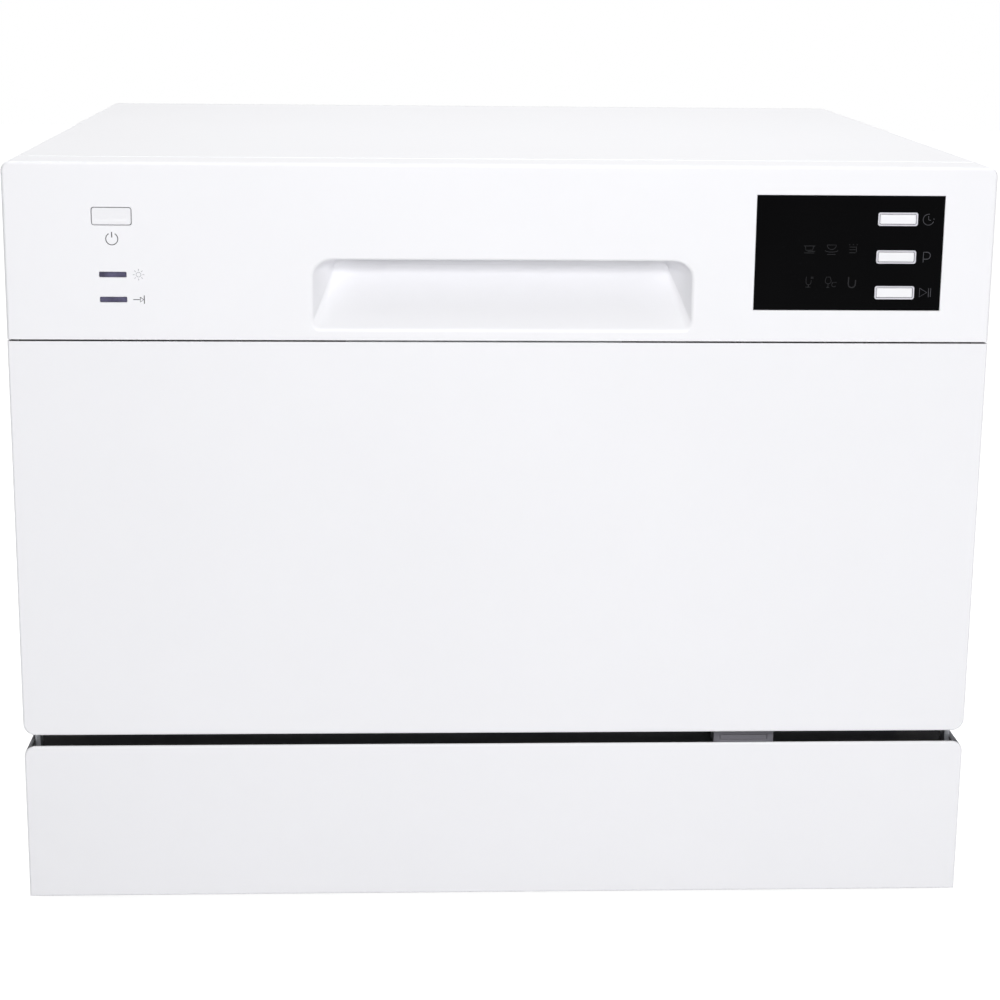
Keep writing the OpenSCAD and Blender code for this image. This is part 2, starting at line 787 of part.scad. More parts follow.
// The bowl under the tub's floor, with a ledge for the filter plate and the pit for the cup
module sump() {
    outer = well_r + sump_t;
    color("#55585c") difference() {
        union() {
            translate([0, hub_y, bowl_z]) cylinder(h = bowl_h, r = outer);
            translate([0, cup_y, pit_z]) cylinder(h = bowl_z - pit_z + sump_t, r = pit_r);
            rod_x([0, cup_y, plumb_z], pit_r + stub_l, circ_r);
            rod_x([-pit_r - stub_l, cup_y, plumb_z], pit_r + stub_l, drain_r);
        }
        translate([0, hub_y, bowl_z + sump_t])
            cylinder(h = plate_top - plate_t - 4 - bowl_z - sump_t, r = well_r);
        translate([0, hub_y, bowl_z + sump_t]) cylinder(h = bowl_h, r = well_r - 6);
        translate([0, hub_y, plate_top - plate_t]) cylinder(h = 2 * sump_t, r = well_r);
        translate([0, cup_y, pit_z + sump_t]) cylinder(h = bowl_h + filter_h, r = pit_r - sump_t);
        rod_x([0, cup_y, plumb_z], pit_r + stub_l + past, circ_r - hose_t);
        rod_x([-pit_r - stub_l - past, cup_y, plumb_z], pit_r + stub_l + past, drain_r - hose_t);
        translate([0, hub_y, bowl_z - past]) cylinder(h = sump_t + 2 * past, r = circ_r + fit_gap);
    }
}

// The flat filter plate round the hub
module filter_plate() {
    color("silver") difference() {
        translate([0, hub_y, plate_top - plate_t]) cylinder(h = plate_t, r = well_r - cup_room);
        translate([0, hub_y, plate_top - plate_t - past])
            cylinder(h = plate_t + 2 * past, r = hub_r + cup_room);
        translate([0, cup_y, plate_top - plate_t - past])
            cylinder(h = plate_t + 2 * past, r = filter_r + cup_room);
        for (a = [0:15:345], r = [0.62, 0.74, 0.86])
            if (abs(a - 270) > 38)
                translate([well_r * r * cos(a), hub_y + well_r * r * sin(a), plate_top - plate_t - past])
                    cylinder(h = plate_t + 2 * past, r = 1.6, $fn = 8);
    }
}

// The cup-shaped filter with its handle
module filter_cup() {
    collar = 4;
    color("#6d7278") union() {
        difference() {
            union() {
                translate([0, cup_y, plate_top - filter_h]) cylinder(h = filter_h + plate_t, r = filter_r);
                translate([0, cup_y, plate_top + cup_room / 2])
                    cylinder(h = plate_t + 0.6, r = filter_r + collar);
            }
            translate([0, cup_y, plate_top - filter_h + plate_t])
                cylinder(h = filter_h + 2 * plate_t, r = filter_r - plate_t);
        }
        block([-2.5, cup_y - filter_r + past, plate_top - 4], [2.5, cup_y + filter_r - past, tub_z + 5]);
    }
}

// The pipe and the pivot that carry the spray arm
module spray_hub() {
    base = bowl_z + sump_t;
    color("#6d7278") difference() {
        union() {
            translate([0, hub_y, base]) cylinder(h = spray_z - base - 1, r = hub_r);
            translate([0, hub_y, spray_z - 1 - past]) cylinder(h = spray_t + 1.5 + past, r = pivot_r);
            translate([0, hub_y, spray_z + spray_t + 0.4]) cylinder(h = 2.6, r = pivot_r + 4);
        }
        translate([0, hub_y, base - past]) cylinder(h = spray_z - base + spray_t / 2, r = pivot_r - 3);
    }
}

// The rotating spray arm, a flat hollow wing on each side with its jets
module spray_arm() {
    wall = 2;
    color("#8b9096") difference() {
        translate([0, hub_y, spray_z]) linear_extrude(spray_t) spray_outline(0);
        translate([0, hub_y, spray_z + wall]) linear_extrude(spray_t - 2 * wall) difference() {
            spray_outline(wall);
            circle(pivot_r + 2 * wall);
        }
        translate([0, hub_y, spray_z - past]) cylinder(h = spray_t + 2 * past, r = pivot_r + pivot_gap);
        for (s = [-1, 1], f = [0.24, 0.43, 0.63, 0.81])
            translate([s * f * arm_reach, hub_y + s * 4, spray_z + spray_t - wall - past])
                cylinder(h = wall + 2 * past, r = 1.6, $fn = 12);
    }
}

// Plan of the spray arm, drawn in by a wall
module spray_outline(inset) {
    root = 21 - inset;
    tip = 14 - inset;
    end = arm_reach - tip - inset;
    union() {
        circle(28 - inset);
        polygon([[-end, -tip], [0, -root], [end, -tip], [end, tip], [0, root], [-end, tip]]);
        for (s = [-1, 1]) translate([s * end, 0]) circle(tip);
    }
}

// The wash pump: inlet, volute with its outlet, motor and foot
module wash_pump() {
    start = pit_r + stub_l;
    volute_x = start + neck_l;
    outlet_x = volute_x + (volute_w - outlet_w) / 2;
    foot_x = volute_x + volute_w + foot_in;
    color("#2e3033") difference() {
        union() {
            rod_x([start, cup_y, plumb_z], neck_l + 2, circ_r);
            rod_x([volute_x, cup_y, plumb_z], volute_w, motor_r - 2);
            rod_x([volute_x + volute_w - past, cup_y, plumb_z], motor_l, motor_r);
            block([outlet_x, cup_y, plumb_z - outlet_w / 2],
                [outlet_x + outlet_w, cup_y + motor_r + 2, plumb_z + outlet_w / 2]);
            block([foot_x, cup_y - pump_foot_w / 2, tray_inner_z],
                [foot_x + pump_foot_l, cup_y + pump_foot_w / 2, plumb_z]);
        }
        rod_x([start - past, cup_y, plumb_z], neck_l + 2, circ_r - hose_t);
    }
}

// The tube that heats the water between the pump and the hub
module water_heater() {
    color("silver") difference() {
        rod_y([heater_x, cup_y + motor_r + 2, plumb_z], heater_l, heater_r);
        rod_y([heater_x, cup_y + motor_r + 2 + sump_t, plumb_z], heater_l - 2 * sump_t, heater_r - sump_t);
        rod_y([heater_x, cup_y + motor_r + 2 + heater_l - 2 * sump_t, plumb_z], 3 * sump_t,
            circ_r - hose_t);
    }
}

// The hose from the heater to the hub
module circulation_hose() {
    y0 = cup_y + motor_r + 2 + heater_l;
    route = [
        [heater_x, y0, plumb_z], [heater_x, y0 + hose_turn, plumb_z], [0, y0 + hose_turn, plumb_z],
        [0, hub_y, plumb_z], [0, hub_y, bowl_z + sump_t]
    ];
    color("#3a3a3c") difference() {
        tube_run(route, circ_r);
        tube_run(route, circ_r - hose_t);
    }
}

// The drain pump with its foot
module drain_pump() {
    end = -pit_r - stub_l;
    color("#2e3033") union() {
        rod_x([end - drain_pump_l, cup_y, plumb_z], drain_pump_l, drain_pump_r);
        rod_x([end - drain_pump_l - drain_stub_l, cup_y, plumb_z], drain_stub_l + 2 * past, drain_r);
        block([end - drain_pump_l * 0.8, cup_y - 10, tray_inner_z],
            [end - drain_pump_l * 0.25, cup_y + 10, plumb_z]);
    }
}

// The hose from the drain pump to the outlet
module drain_hose() {
    end = -pit_r - stub_l - drain_pump_l - drain_stub_l;
    turn = niche_y - tray_wall - 3.4 * drain_r;
    route = [
        [end, cup_y, plumb_z], [end - 20, cup_y, plumb_z], [end - 20, turn, plumb_z],
        [outlet_x, turn, connect_z], [outlet_x, niche_y - tray_wall - 6, connect_z]
    ];
    color("#3a3a3c") difference() {
        tube_run(route, drain_r);
        tube_run(route, drain_r - hose_t);
    }
}

// The nipple that the drain hose is pushed on to, through the niche's wall
module drain_outlet() {
    start = niche_y - tray_wall - 6;
    color("#3a3a3c") difference() {
        union() {
            rod_y([outlet_x, start, connect_z], outlet_l + tray_wall + 6, outlet_r);
            rod_y([outlet_x, niche_y, connect_z], 2, outlet_r + 5);
        }
        rod_y([outlet_x, start - past, connect_z], outlet_l + tray_wall + 6 + 2 * past, outlet_r - 2);
    }
}

// The inlet valve with its threaded stub through the niche's wall
module inlet_valve() {
    back = niche_y - tray_wall;
    color("#e8e8e8") difference() {
        union() {
            block([inlet_x - 18, back - 40, connect_z - 18], [inlet_x + 18, back, connect_z + 18]);
            rod_y([inlet_x, back - past, connect_z], tray_wall + thread_l + past, thread_r);
            rod_y([inlet_x, niche_y, connect_z], 2, thread_r + 4);
            rod_x([inlet_x - 46, back - 22, connect_z], 30, 13);
            block([inlet_x - 10, back - 32, tray_inner_z], [inlet_x + 10, back - 8, connect_z]);
        }
        rod_y([inlet_x, back - 6, connect_z], tray_wall + thread_l + 6 + past, thread_r - 4);
    }
}

// The hose from the valve up to the air break
module inlet_hose() {
    y0 = niche_y - tray_wall - 40;
    route = [
        [inlet_x, y0, connect_z], [inlet_x, y0 - 20, connect_z],
        [breather_x, y0 - 20, connect_z], [breather_x, y0 - 20, breather_z]
    ];
    color("#3a3a3c") difference() {
        tube_run(route, inlet_r);
        tube_run(route, inlet_r - hose_t / 2 - 1);
    }
}

// The flat air break between the tub and the side panel, with its port into the tub
module air_breather() {
    half = breather_t / 2;
    color("#cfd6da") difference() {
        union() {
            block([breather_x - half, breather_y, breather_z],
                [breather_x + half, breather_y + breather_d, breather_z + breather_h]);
            rod_x([tub_w / 2 - 2.5, port_y, port_z], breather_x - tub_w / 2, port_r);
            rod_x([tub_w / 2 - 2.5, port_y, port_z], 2.5, port_r + 4);
        }
        block([breather_x - half + 2, breather_y + 2, breather_z + 2],
            [breather_x + half - 2, breather_y + breather_d - 2, breather_z + breather_h - 2]);
        rod_x([tub_w / 2 - 2.5 - past, port_y, port_z], breather_x - tub_w / 2 + past, port_r - 2);
    }
}

// The gland that the mains cord passes through
module cord_gland() {
    back = niche_y - tray_wall;
    color("#1a1a1c") difference() {
        union() {
            rod_y([gland_x, niche_y, connect_z], 5, gland_r);
            rod_y([gland_x, back - 6, connect_z], tray_wall + 6 + past, gland_bore_r + 3);
        }
        rod_y([gland_x, back - 6 - past, connect_z], tray_wall + 11 + 2 * past, gland_bore_r);
    }
}

// The box with the mains terminals
module power_box() {
    back = niche_y - tray_wall - 6;
    front = back - terminal_d;
    left = gland_x - terminal_left;
    right = gland_x + terminal_right;
    top = connect_z + terminal_up;
    color("#2e3033") difference() {
        block([left, front, tray_inner_z], [right, back, top]);
        block([left + terminal_t, front + terminal_t, tray_inner_z + terminal_t],
            [right - terminal_t, back - terminal_t, top - terminal_t]);
        rod_y([gland_x, back - 3, connect_z], 4, gland_bore_r + 1.5);
    }
}

// The catch on the tub's flange that the door locks on to
module door_strike() {
    reach = 17;
    color("silver") union() {
        block([-lock_w / 2 + 2, flange_y - sheet_t - 0.4, mouth_top + 0.5],
            [lock_w / 2 - 2, flange_y, tub_top + flange_top_w]);
        difference() {
            block([-strike_w / 2, flange_y - reach, strike_z],
                [strike_w / 2, flange_y - sheet_t, strike_z + strike_t]);
            block([-strike_w / 2 + 3, flange_y - reach + 4, strike_z - past],
                [strike_w / 2 - 3, flange_y - reach + 10, strike_z + strike_t + past]);
        }
    }
}

// The brackets in the base with the pins that the door turns on
module hinge_brackets() {
    color("silver") both_sides() {
        sideways(bracket_x, hinge_t) union() {
            translate([hinge_y, hinge_z]) circle(hinge_pin_r + 2);
            translate([hinge_y, hinge_z - 5]) square([neck_y + neck_w - hinge_y, 10]);
            translate([neck_y, tray_inner_z + 30]) square([neck_w, hinge_z + 5 - tray_inner_z - 30]);
            translate([neck_y, tray_inner_z + 30]) square([44, tray_top - 5 - tray_inner_z - 30]);
        }
        rod_x([arm_x - hinge_t - 2, hinge_y, hinge_z], bracket_x - arm_x + hinge_t + 2 + past, hinge_pin_r);
    }
}

// The pale guide for the door's wiring, seen in the gap under the door
module harness_guide() {
    left = body_w / 2 - guide_side - guide_w;
    color("#b9b4bc") difference() {
        block([left, neck_y - 1, tray_top], [left + guide_w, neck_y + 11, tray_top + 8]);
        block([left + 4, neck_y - 1 - past, tray_top + 2.5],
            [left + guide_w - 4, neck_y + 11 + past, tray_top + 5.5]);
    }
}

// The float that shuts the water off when the tub is too full
module overflow_float() {
    cap_z = tub_z + 2;
    color("#8b9096") translate([float_x, float_y, 0]) {
        translate([0, 0, cap_z]) cylinder(h = 9, r = float_r);
        translate([0, 0, bowl_top - 24]) cylinder(h = cap_z - bowl_top + 25, r = float_stem_r);
        translate([0, 0, bowl_top - 24]) cylinder(h = 3, r = float_stem_r + 2);
    }
}

// A levelling foot: a rubber pad on a threaded stem
module foot(x, y) {
    color("#1a1a1c") translate([x, y, 0]) {
        cylinder(h = pad_t, r = pad_r);
        translate([0, 0, pad_t - past]) cylinder(h = stem_l + past, r = stem_r);
    }
}

module foot_front_left() { foot(-foot_x, -foot_y); }
module foot_front_right() { foot(foot_x, -foot_y); }
module foot_rear_left() { foot(-foot_x, foot_y); }
module foot_rear_right() { foot(foot_x, foot_y); }

// The folded sheet that is the lower part of the door
module door_outer_panel() {
    height = fascia_z - seam - door_z;
    color("white") difference() {
        upright(front_y, liner_y - front_y) translate([0, door_z]) round_bottom(body_w, height, door_r);
        upright(front_y + sheet_t, door_t) translate([0, door_z + sheet_t])
            round_bottom(body_w - 2 * sheet_t, height + past, door_r - sheet_t);
        both_sides() block([body_w / 2 - hinge_zone, front_y + sheet_t, door_z - past],
            [body_w / 2 - sheet_t, liner_y + past, door_z + door_r + 2]);
    }
}

// Hollow of the handle: open to the front, deep at the top and flush at its lower edge
module grip_hollow() {
    top = grip_z + grip_h;
    deep = front_y + grip_d;
    intersection() {
        sideways(-grip_w / 2, grip_w) polygon([
            [front_y - past, grip_z], [front_y - past, top], [deep, top],
            [deep, grip_z + grip_rise], [front_y, grip_z]
        ]);
        upright(front_y - past, grip_d + 2 * past) translate([0, grip_z]) round_top(grip_w, grip_h, grip_r);
        translate([0, 0, grip_z - past]) linear_extrude(grip_h + 2 * past) polygon([
            [-grip_w / 2, front_y - past], [-grip_w / 2, front_y], [-grip_w / 2 + grip_draft, deep],
            [grip_w / 2 - grip_draft, deep], [grip_w / 2, front_y], [grip_w / 2, front_y - past]
        ]);
    }
    block([-grip_w / 2 + grip_draft + grip_r, front_y + grip_lip, top - past],
        [grip_w / 2 - grip_draft - grip_r, deep, top + grip_hook]);
}

// The walls round the handle's hollow, before it is cut
module grip_case() {
    top = grip_z + grip_h + grip_hook + grip_wall;
    deep = front_y + grip_d + grip_wall;
    drop = grip_wall * norm([grip_d, grip_rise]) / grip_d;
    sideways(-grip_w / 2 - grip_wall, grip_w + 2 * grip_wall) polygon([
        [front_y, grip_z - drop], [front_y, top], [deep, top],
        [deep, grip_z + grip_rise + grip_wall * grip_rise / grip_d - drop]
    ]);
}

// A slot for a button or a lens through the panel's front wall
module front_hole(x, z, width, height, depth) {
    block([x - width / 2, front_y - past, z - height / 2],
        [x + width / 2, front_y + depth, z + height / 2]);
}

// The plastic control panel that is the upper part of the door
module control_panel() {
    inner_w = body_w - 2 * fascia_side;
    color("white") difference() {
        union() {
            difference() {
                upright(front_y, liner_y - front_y) translate([0, fascia_z])
                    round_top(body_w, fascia_h, edge_r);
                upright(front_y + fascia_wall, door_t) translate([0, fascia_z + fascia_side])
                    round_top(inner_w, fascia_h - 2 * fascia_side, edge_r - fascia_side);
                block([-inner_w / 2, front_y + 10, fascia_z - past],
                    [inner_w / 2, liner_y + past, fascia_z + fascia_side + past]);
            }
            grip_case();
            for (at = board_posts)
                rod_y([at[0], front_y + past, at[1]], board_in - past, 3);
        }
        grip_hollow();
        block([window_x - window_w / 2 - fit_gap, front_y - past, window_z - fit_gap],
            [window_x + window_w / 2 + fit_gap, front_y + window_t, window_z + window_h + fit_gap]);
        for (up = button_up)
            front_hole(button_x, fascia_z + up, frame_w - 2, frame_h - 2, fascia_wall + past);
        front_hole(power_x, fascia_z + power_up, power_w + 2 * fit_gap, power_h + 2 * fit_gap,
            fascia_wall + past);
        for (up = lens_up)
            front_hole(power_x, fascia_z + up, lens_w + fit_gap, lens_h + fit_gap, fascia_wall + past);
    }
}

// The black window over the indicators
module display_window() {
    color("#0c0c0e") difference() {
        block([window_x - window_w / 2, front_y, window_z],
            [window_x + window_w / 2, front_y + window_t, window_z + window_h]);
        for (up = button_up)
            front_hole(button_x, fascia_z + up, frame_w + fit_gap, frame_h + fit_gap, window_t + past);
    }
}

// The three white frames in the window
module button_frames() {
    color("white") for (up = button_up) difference() {
        front_box(button_x, fascia_z + up, frame_w, frame_h, window_t);
        front_hole(button_x, fascia_z + up, cap_w + 2 * fit_gap, cap_h + 2 * fit_gap, window_t + past);
    }
}

// A box on the panel's face that reaches inward
module front_box(x, z, width, height, depth) {
    block([x - width / 2, front_y, z - height / 2], [x + width / 2, front_y + depth, z + height / 2]);
}

// The two lenses of the rinse aid and the water indicators
module indicator_lenses() {
    color("#62607a") for (up = lens_up)
        front_box(power_x, fascia_z + up, lens_w, lens_h, fascia_wall + past);
}

// A button's cap with the stem that reaches its switch
module push_button(x, z, width, height, travel) {
    reach = board_in - switch_h - travel - fit_gap;
    color("white") union() {
        front_box(x, z, width, height, cap_t);
        rod_y([x, cap_back_y - past, z], reach - cap_t + past, button_stem_r);
    }
}

module delay_button() { push_button(button_x, fascia_z + button_up[0], cap_w, cap_h, button_travel); }
module program_button() { push_button(button_x, fascia_z + button_up[1], cap_w, cap_h, button_travel); }
module start_button() { push_button(button_x, fascia_z + button_up[2], cap_w, cap_h, button_travel); }
module power_button() { push_button(power_x, fascia_z + power_up, power_w, power_h, power_travel); }

// The circuit boards behind the panel, with a switch under each button
module control_board() {
    color("#2f6b3c") union() {
        block([window_x - window_w / 2 - 4, board_y, window_z - 4],
            [window_x + window_w / 2 + 4, board_y + board_t, window_z + window_h + 4]);
        block([power_x - 24, board_y, window_z - 4],
            [power_x + 24, board_y + board_t, window_z + window_h + 4]);
        for (up = button_up) switch_box(button_x, fascia_z + up);
        switch_box(power_x, fascia_z + power_up);
        block([window_x - 40, board_y + board_t / 2, window_z + 6],
            [window_x + 10, board_y + board_t + 10, window_z + 30]);
    }
}

// A switch on the front of the board
module switch_box(x, z) {
    block([x - 3, board_y - switch_h, z - 3], [x + 3, board_y + board_t / 2, z + 3]);
}

// The stainless inner door
module door_liner() {
    width = body_w - 2 * liner_edge;
    low = door_z + liner_edge;
    color("silver") difference() {
        upright(liner_y, liner_t) translate([0, low]) round_top(width, body_h - liner_edge - low, edge_r);
        block([disp_x - disp_w / 2 - fit_gap, liner_y - past, disp_z - fit_gap],
            [disp_x + disp_w / 2 + fit_gap, door_back_y + past, disp_z + disp_h + fit_gap]);
        block([-lock_slot_w / 2, liner_y - past, lock_slot_z],
            [lock_slot_w / 2, door_back_y + past, lock_slot_z + lock_slot_h]);
        for (s = [-1, 1], z = liner_screw_z)
            rod_y([s * liner_screw_x, liner_y - past, z], liner_t + 2 * past, screw_r + screw_gap);
    }
}

// The screws along the sides of the inner door
module liner_screws() {
    color("silver") for (s = [-1, 1], z = liner_screw_z) {
        rod_y([s * liner_screw_x, door_back_y, z], liner_head_h, screw_head_r - 0.5);
        rod_y([s * liner_screw_x, door_back_y - screw_l, z], screw_l + liner_head_h / 2, screw_r);
    }
}

// The lock in the top of the door
module door_lock() {
    low = lock_slot_z - 4;
    color("#2e3033") difference() {
        block([-lock_w / 2, liner_y - 24, low], [lock_w / 2, liner_y, lock_slot_z + lock_slot_h + 1]);
        block([-lock_slot_w / 2, liner_y - 18, lock_slot_z],
            [lock_slot_w / 2, liner_y + past, lock_slot_z + lock_slot_h]);
    }
}

// The arms in the door that turn on the hinge pins
module hinge_arms() {
    reach = liner_y - hinge_y;
    color("silver") both_sides() difference() {
        sideways(arm_x - hinge_t, hinge_t) union() {
            translate([hinge_y, hinge_z]) circle(hinge_pin_r + hinge_gap + hinge_eye_wall);
            translate([hinge_y, hinge_z]) polygon([
                [0, -hinge_pin_r - hinge_eye_wall], [reach, -hinge_up + 1], [reach, arm_l],
                [reach - arm_w, arm_l], [reach - arm_w, 30], [0, hinge_pin_r + hinge_eye_wall]
            ]);
        }
        rod_x([arm_x - hinge_t - past, hinge_y, hinge_z], hinge_t + 2 * past, hinge_pin_r + hinge_gap);
    }
}

// The dispenser's housing in the inner door, with the detergent cup and the rinse aid filler
module dispenser_body() {
    left = disp_x - disp_w / 2;
    right = disp_x + disp_w / 2;
    lug_w = 2.5;
    color("#d9dcdf") difference() {
        union() {
            block([left - disp_flange, door_back_y, disp_z - disp_flange],
                [right + disp_flange, door_back_y + disp_t, disp_z + disp_h + disp_flange]);
            block([left, door_back_y - disp_in, disp_z], [right, disp_y, disp_z + disp_h]);
            for (x = [cup_x - 3 - lug_w, cup_x + cup_w + 3])
                block([x, disp_y - past, lid_z - 4], [x + lug_w, lid_y + 3.2, lid_z + 3.5]);
        }
        block([cup_x, door_back_y - disp_in + disp_t, cup_z],
            [cup_x + cup_w, disp_y + past, cup_z + cup_h]);
        rod_y([rinse_x, disp_y - 18, rinse_z], 18 + past, rinse_r - 4);
        rod_x([cup_x - 3 - lug_w - past, lid_y, lid_z], cup_w + 6 + 2 * lug_w + 2 * past,
            lid_pin_r + lid_gap);
        block([left + disp_t, door_back_y - disp_in - past, disp_z + disp_t],
            [rinse_x - rinse_r, disp_y - 8, disp_z + disp_h - disp_t]);
    }
}

// The lid over the detergent cup
module dispenser_lid() {
    play = 0.3;
    x0 = cup_x - 3 + play;
    x1 = cup_x + cup_w + 3 - play;
    color("#eceff1") union() {
        block([x0, disp_y + lid_play, cup_z - 4], [x1, disp_y + lid_play + lid_t, lid_z]);
        rod_x([x0, lid_y, lid_z], x1 - x0, lid_barrel_r);
        rod_x([x0 - 2.2, lid_y, lid_z], x1 - x0 + 4.4, lid_pin_r);
    }
}

// The turning cap of the rinse aid filler
module rinse_cap() {
    face = disp_y + lid_play;
    color("#5a6b80") union() {
        rod_y([rinse_x, face, rinse_z], 3.5, rinse_r);
        rod_y([rinse_x, disp_y - 6, rinse_z], 8, rinse_r - 4.4);
        block([rinse_x - rinse_r + 3, face + 3, rinse_z - 2],
            [rinse_x + rinse_r - 3, face + 6.5, rinse_z + 2]);
    }
}

// The slider that lets the lid go
module dispenser_latch() {
    face = disp_y + lid_play;
    x = cup_x + cup_w / 2 - latch_w / 2;
    color("#5a6b80") union() {
        block([x, face, cup_z - 5 - latch_h], [x + latch_w, face + 3, cup_z - 5]);
        block([x + latch_w / 2 - 1.5, face + 2, cup_z - 4 - latch_h],
            [x + latch_w / 2 + 1.5, face + 5, cup_z - 6]);
    }
}

// The wire basket with its plate tines, wheel hangers and shelf clips
module basket_frame() {
    mid = 0.5;
    mid_z = floor_z + basket_h * mid;
    mid_w = basket_w + 2 * side_lean * mid;
    color("#b9bdc2") union() {
        for (i = [-side_wires:side_wires])
            wire([i * wire_pitch, floor_y - wire_r, floor_z],
                [i * wire_pitch, floor_rear_y + wire_r, floor_z], wire_r);
        for (i = [0:cross_spaces]) {
            y = floor_y + i * cross_pitch;
            wire([-basket_w / 2 - wire_r, y, cross_z], [basket_w / 2 + wire_r, y, cross_z], wire_r);
            for (s = [-1, 1])
                wire([s * basket_w / 2, y, cross_z - wire_r / 2], [s * rim_w / 2, y, rim_z], wire_r);
        }
        for (i = [-side_wires:2:side_wires]) {
            wire([i * wire_pitch, floor_y, floor_z - wire_r / 2], [i * wire_pitch, rim_y, rim_z], wire_r);
            wire([i * wire_pitch, floor_rear_y, floor_z - wire_r / 2],
                [i * wire_pitch, rim_rear_y, rim_z], wire_r);
        }
        wire_loop(mid_w, rim_y + basket_lean * (1 - mid), rim_rear_y - rear_lean * (1 - mid),
            mid_z, wire_r);
        wire_loop(rim_w, rim_y, rim_rear_y, rim_z, rim_r);
        for (row = tine_rows, i = [1 - side_wires:2])
            wire([i * wire_pitch, hub_y + row, floor_z - wire_r / 2],
                [i * wire_pitch, hub_y + row, floor_z + tine_h], wire_r);
        both_sides() for (y = [axle_y, axle_y + wheel_base]) wheel_hanger(y);
        for (y = [-clip_y, clip_y]) difference() {
            block([shelf_x - 7, hub_y + y - clip_w / 2, rim_z - 3.5],
                [shelf_x + 4, hub_y + y + clip_w / 2, shelf_z + 4]);
            rod_y([shelf_x, hub_y + y - clip_w / 2 - past, shelf_z], clip_w + 2 * past, rod_r + shelf_gap);
        }
    }
}

// A closed rectangle of wire, level
module wire_loop(width, y0, y1, z, radius) {
    for (y = [y0, y1])
        wire([-width / 2 - radius / 2, y, z], [width / 2 + radius / 2, y, z], radius);
    for (s = [-1, 1])
        wire([s * width / 2, y0 - radius / 2, z], [s * width / 2, y1 + radius / 2, z], radius);
}

// A plate on the basket's side with a wheel's axle
module wheel_hanger(y) {
    x = basket_w / 2 - wire_r;
    block([x, y - 13, axle_z - 7], [x + hanger_t, y + 13, floor_z + 10]);
    rod_x([x + past, y, axle_z], wheel_x + wheel_w + 0.8 - x - past, axle_r);
}

// A basket wheel on the right side
module wheel(y) {
    difference() {
        rod_x([wheel_x, y, axle_z], wheel_w, wheel_r);
        rod_x([wheel_x - past, y, axle_z], wheel_w + 2 * past, axle_r + axle_gap);
        for (a = [0:72:288]) rotate_about(y, a)
            rod_x([wheel_x - past, y, axle_z + wheel_r / 2 + axle_r / 2], wheel_w + 2 * past, 1.8);
    }
}

// Turns its children about an axle
module rotate_about(y, angle) {
    translate([0, y, axle_z]) rotate([angle, 0, 0]) translate([0, -y, -axle_z]) children();
}

module wheel_front_right() { color("#8b9096") wheel(axle_y); }
module wheel_rear_right() { color("#8b9096") wheel(axle_y + wheel_base); }
module wheel_front_left() { color("#8b9096") mirror([1, 0, 0]) wheel(axle_y); }
module wheel_rear_left() { color("#8b9096") mirror([1, 0, 0]) wheel(axle_y + wheel_base); }

// The lift-out basket for cutlery, with six cells
module cutlery_basket() {
    low = floor_z + wire_r + fit_gap;
    x0 = cutlery_x - cutlery_w / 2;
    y0 = floor_y + cutlery_front;
    cell_w = (cutlery_w - 3 * cutlery_t) / 2;
    cell_d = (cutlery_d - 4 * cutlery_t) / 3;
    color("#8b9096") difference() {
        block([x0, y0, low], [x0 + cutlery_w, y0 + cutlery_d, low + cutlery_h]);
        for (i = [0:1], j = [0:2]) {
            x = x0 + cutlery_t + i * (cell_w + cutlery_t);
            y = y0 + cutlery_t + j * (cell_d + cutlery_t);
            block([x, y, low + cutlery_t], [x + cell_w, y + cell_d, low + cutlery_h + past]);
            for (f = [0.2, 0.5, 0.8])
                block([x + cell_w * f - cutlery_slot / 2, y + cell_d * 0.2, low - past],
                    [x + cell_w * f + cutlery_slot / 2, y + cell_d * 0.8, low + cutlery_t + past]);
        }
        for (z = [0.1, 0.38, 0.66]) {
            for (i = [0:1], f = [0.14, 0.38, 0.62, 0.86]) {
                x = x0 + cutlery_t + i * (cell_w + cutlery_t) + cell_w * f - cutlery_slot / 2;
                block([x, y0 - past, low + cutlery_h * z],
                    [x + cutlery_slot, y0 + cutlery_d + past, low + cutlery_h * (z + 0.22)]);
            }
            for (j = [0:2], f = [0.2, 0.5, 0.8]) {
                y = y0 + cutlery_t + j * (cell_d + cutlery_t) + cell_d * f - cutlery_slot / 2;
                block([x0 - past, y, low + cutlery_h * z],
                    [x0 + cutlery_w + past, y + cutlery_slot, low + cutlery_h * (z + 0.22)]);
            }
        }
    }
}

// The fold-down shelf for cups on the basket's left side
module cup_shelf() {
    y0 = hub_y - shelf_l / 2;
    y1 = hub_y + shelf_l / 2;
    tip = shelf_x + shelf_reach;
    color("#b9bdc2") union() {
        rod_y([shelf_x, y0 - wire_r, shelf_z], shelf_l + 2 * wire_r, rod_r);
        for (y = [y0, hub_y - shelf_l / 6, hub_y, hub_y + shelf_l / 6, y1])
            wire([shelf_x, y, shelf_z], [tip, y, shelf_z], wire_r);
        for (f = [0.35, 0.68])
            wire([shelf_x + shelf_reach * f, y0, shelf_z + 2 * wire_r - weld],
                [shelf_x + shelf_reach * f, y1, shelf_z + 2 * wire_r - weld], wire_r);
        wire([tip, y0 - wire_r, shelf_z], [tip, y1 + wire_r, shelf_z], wire_r);
    }
}

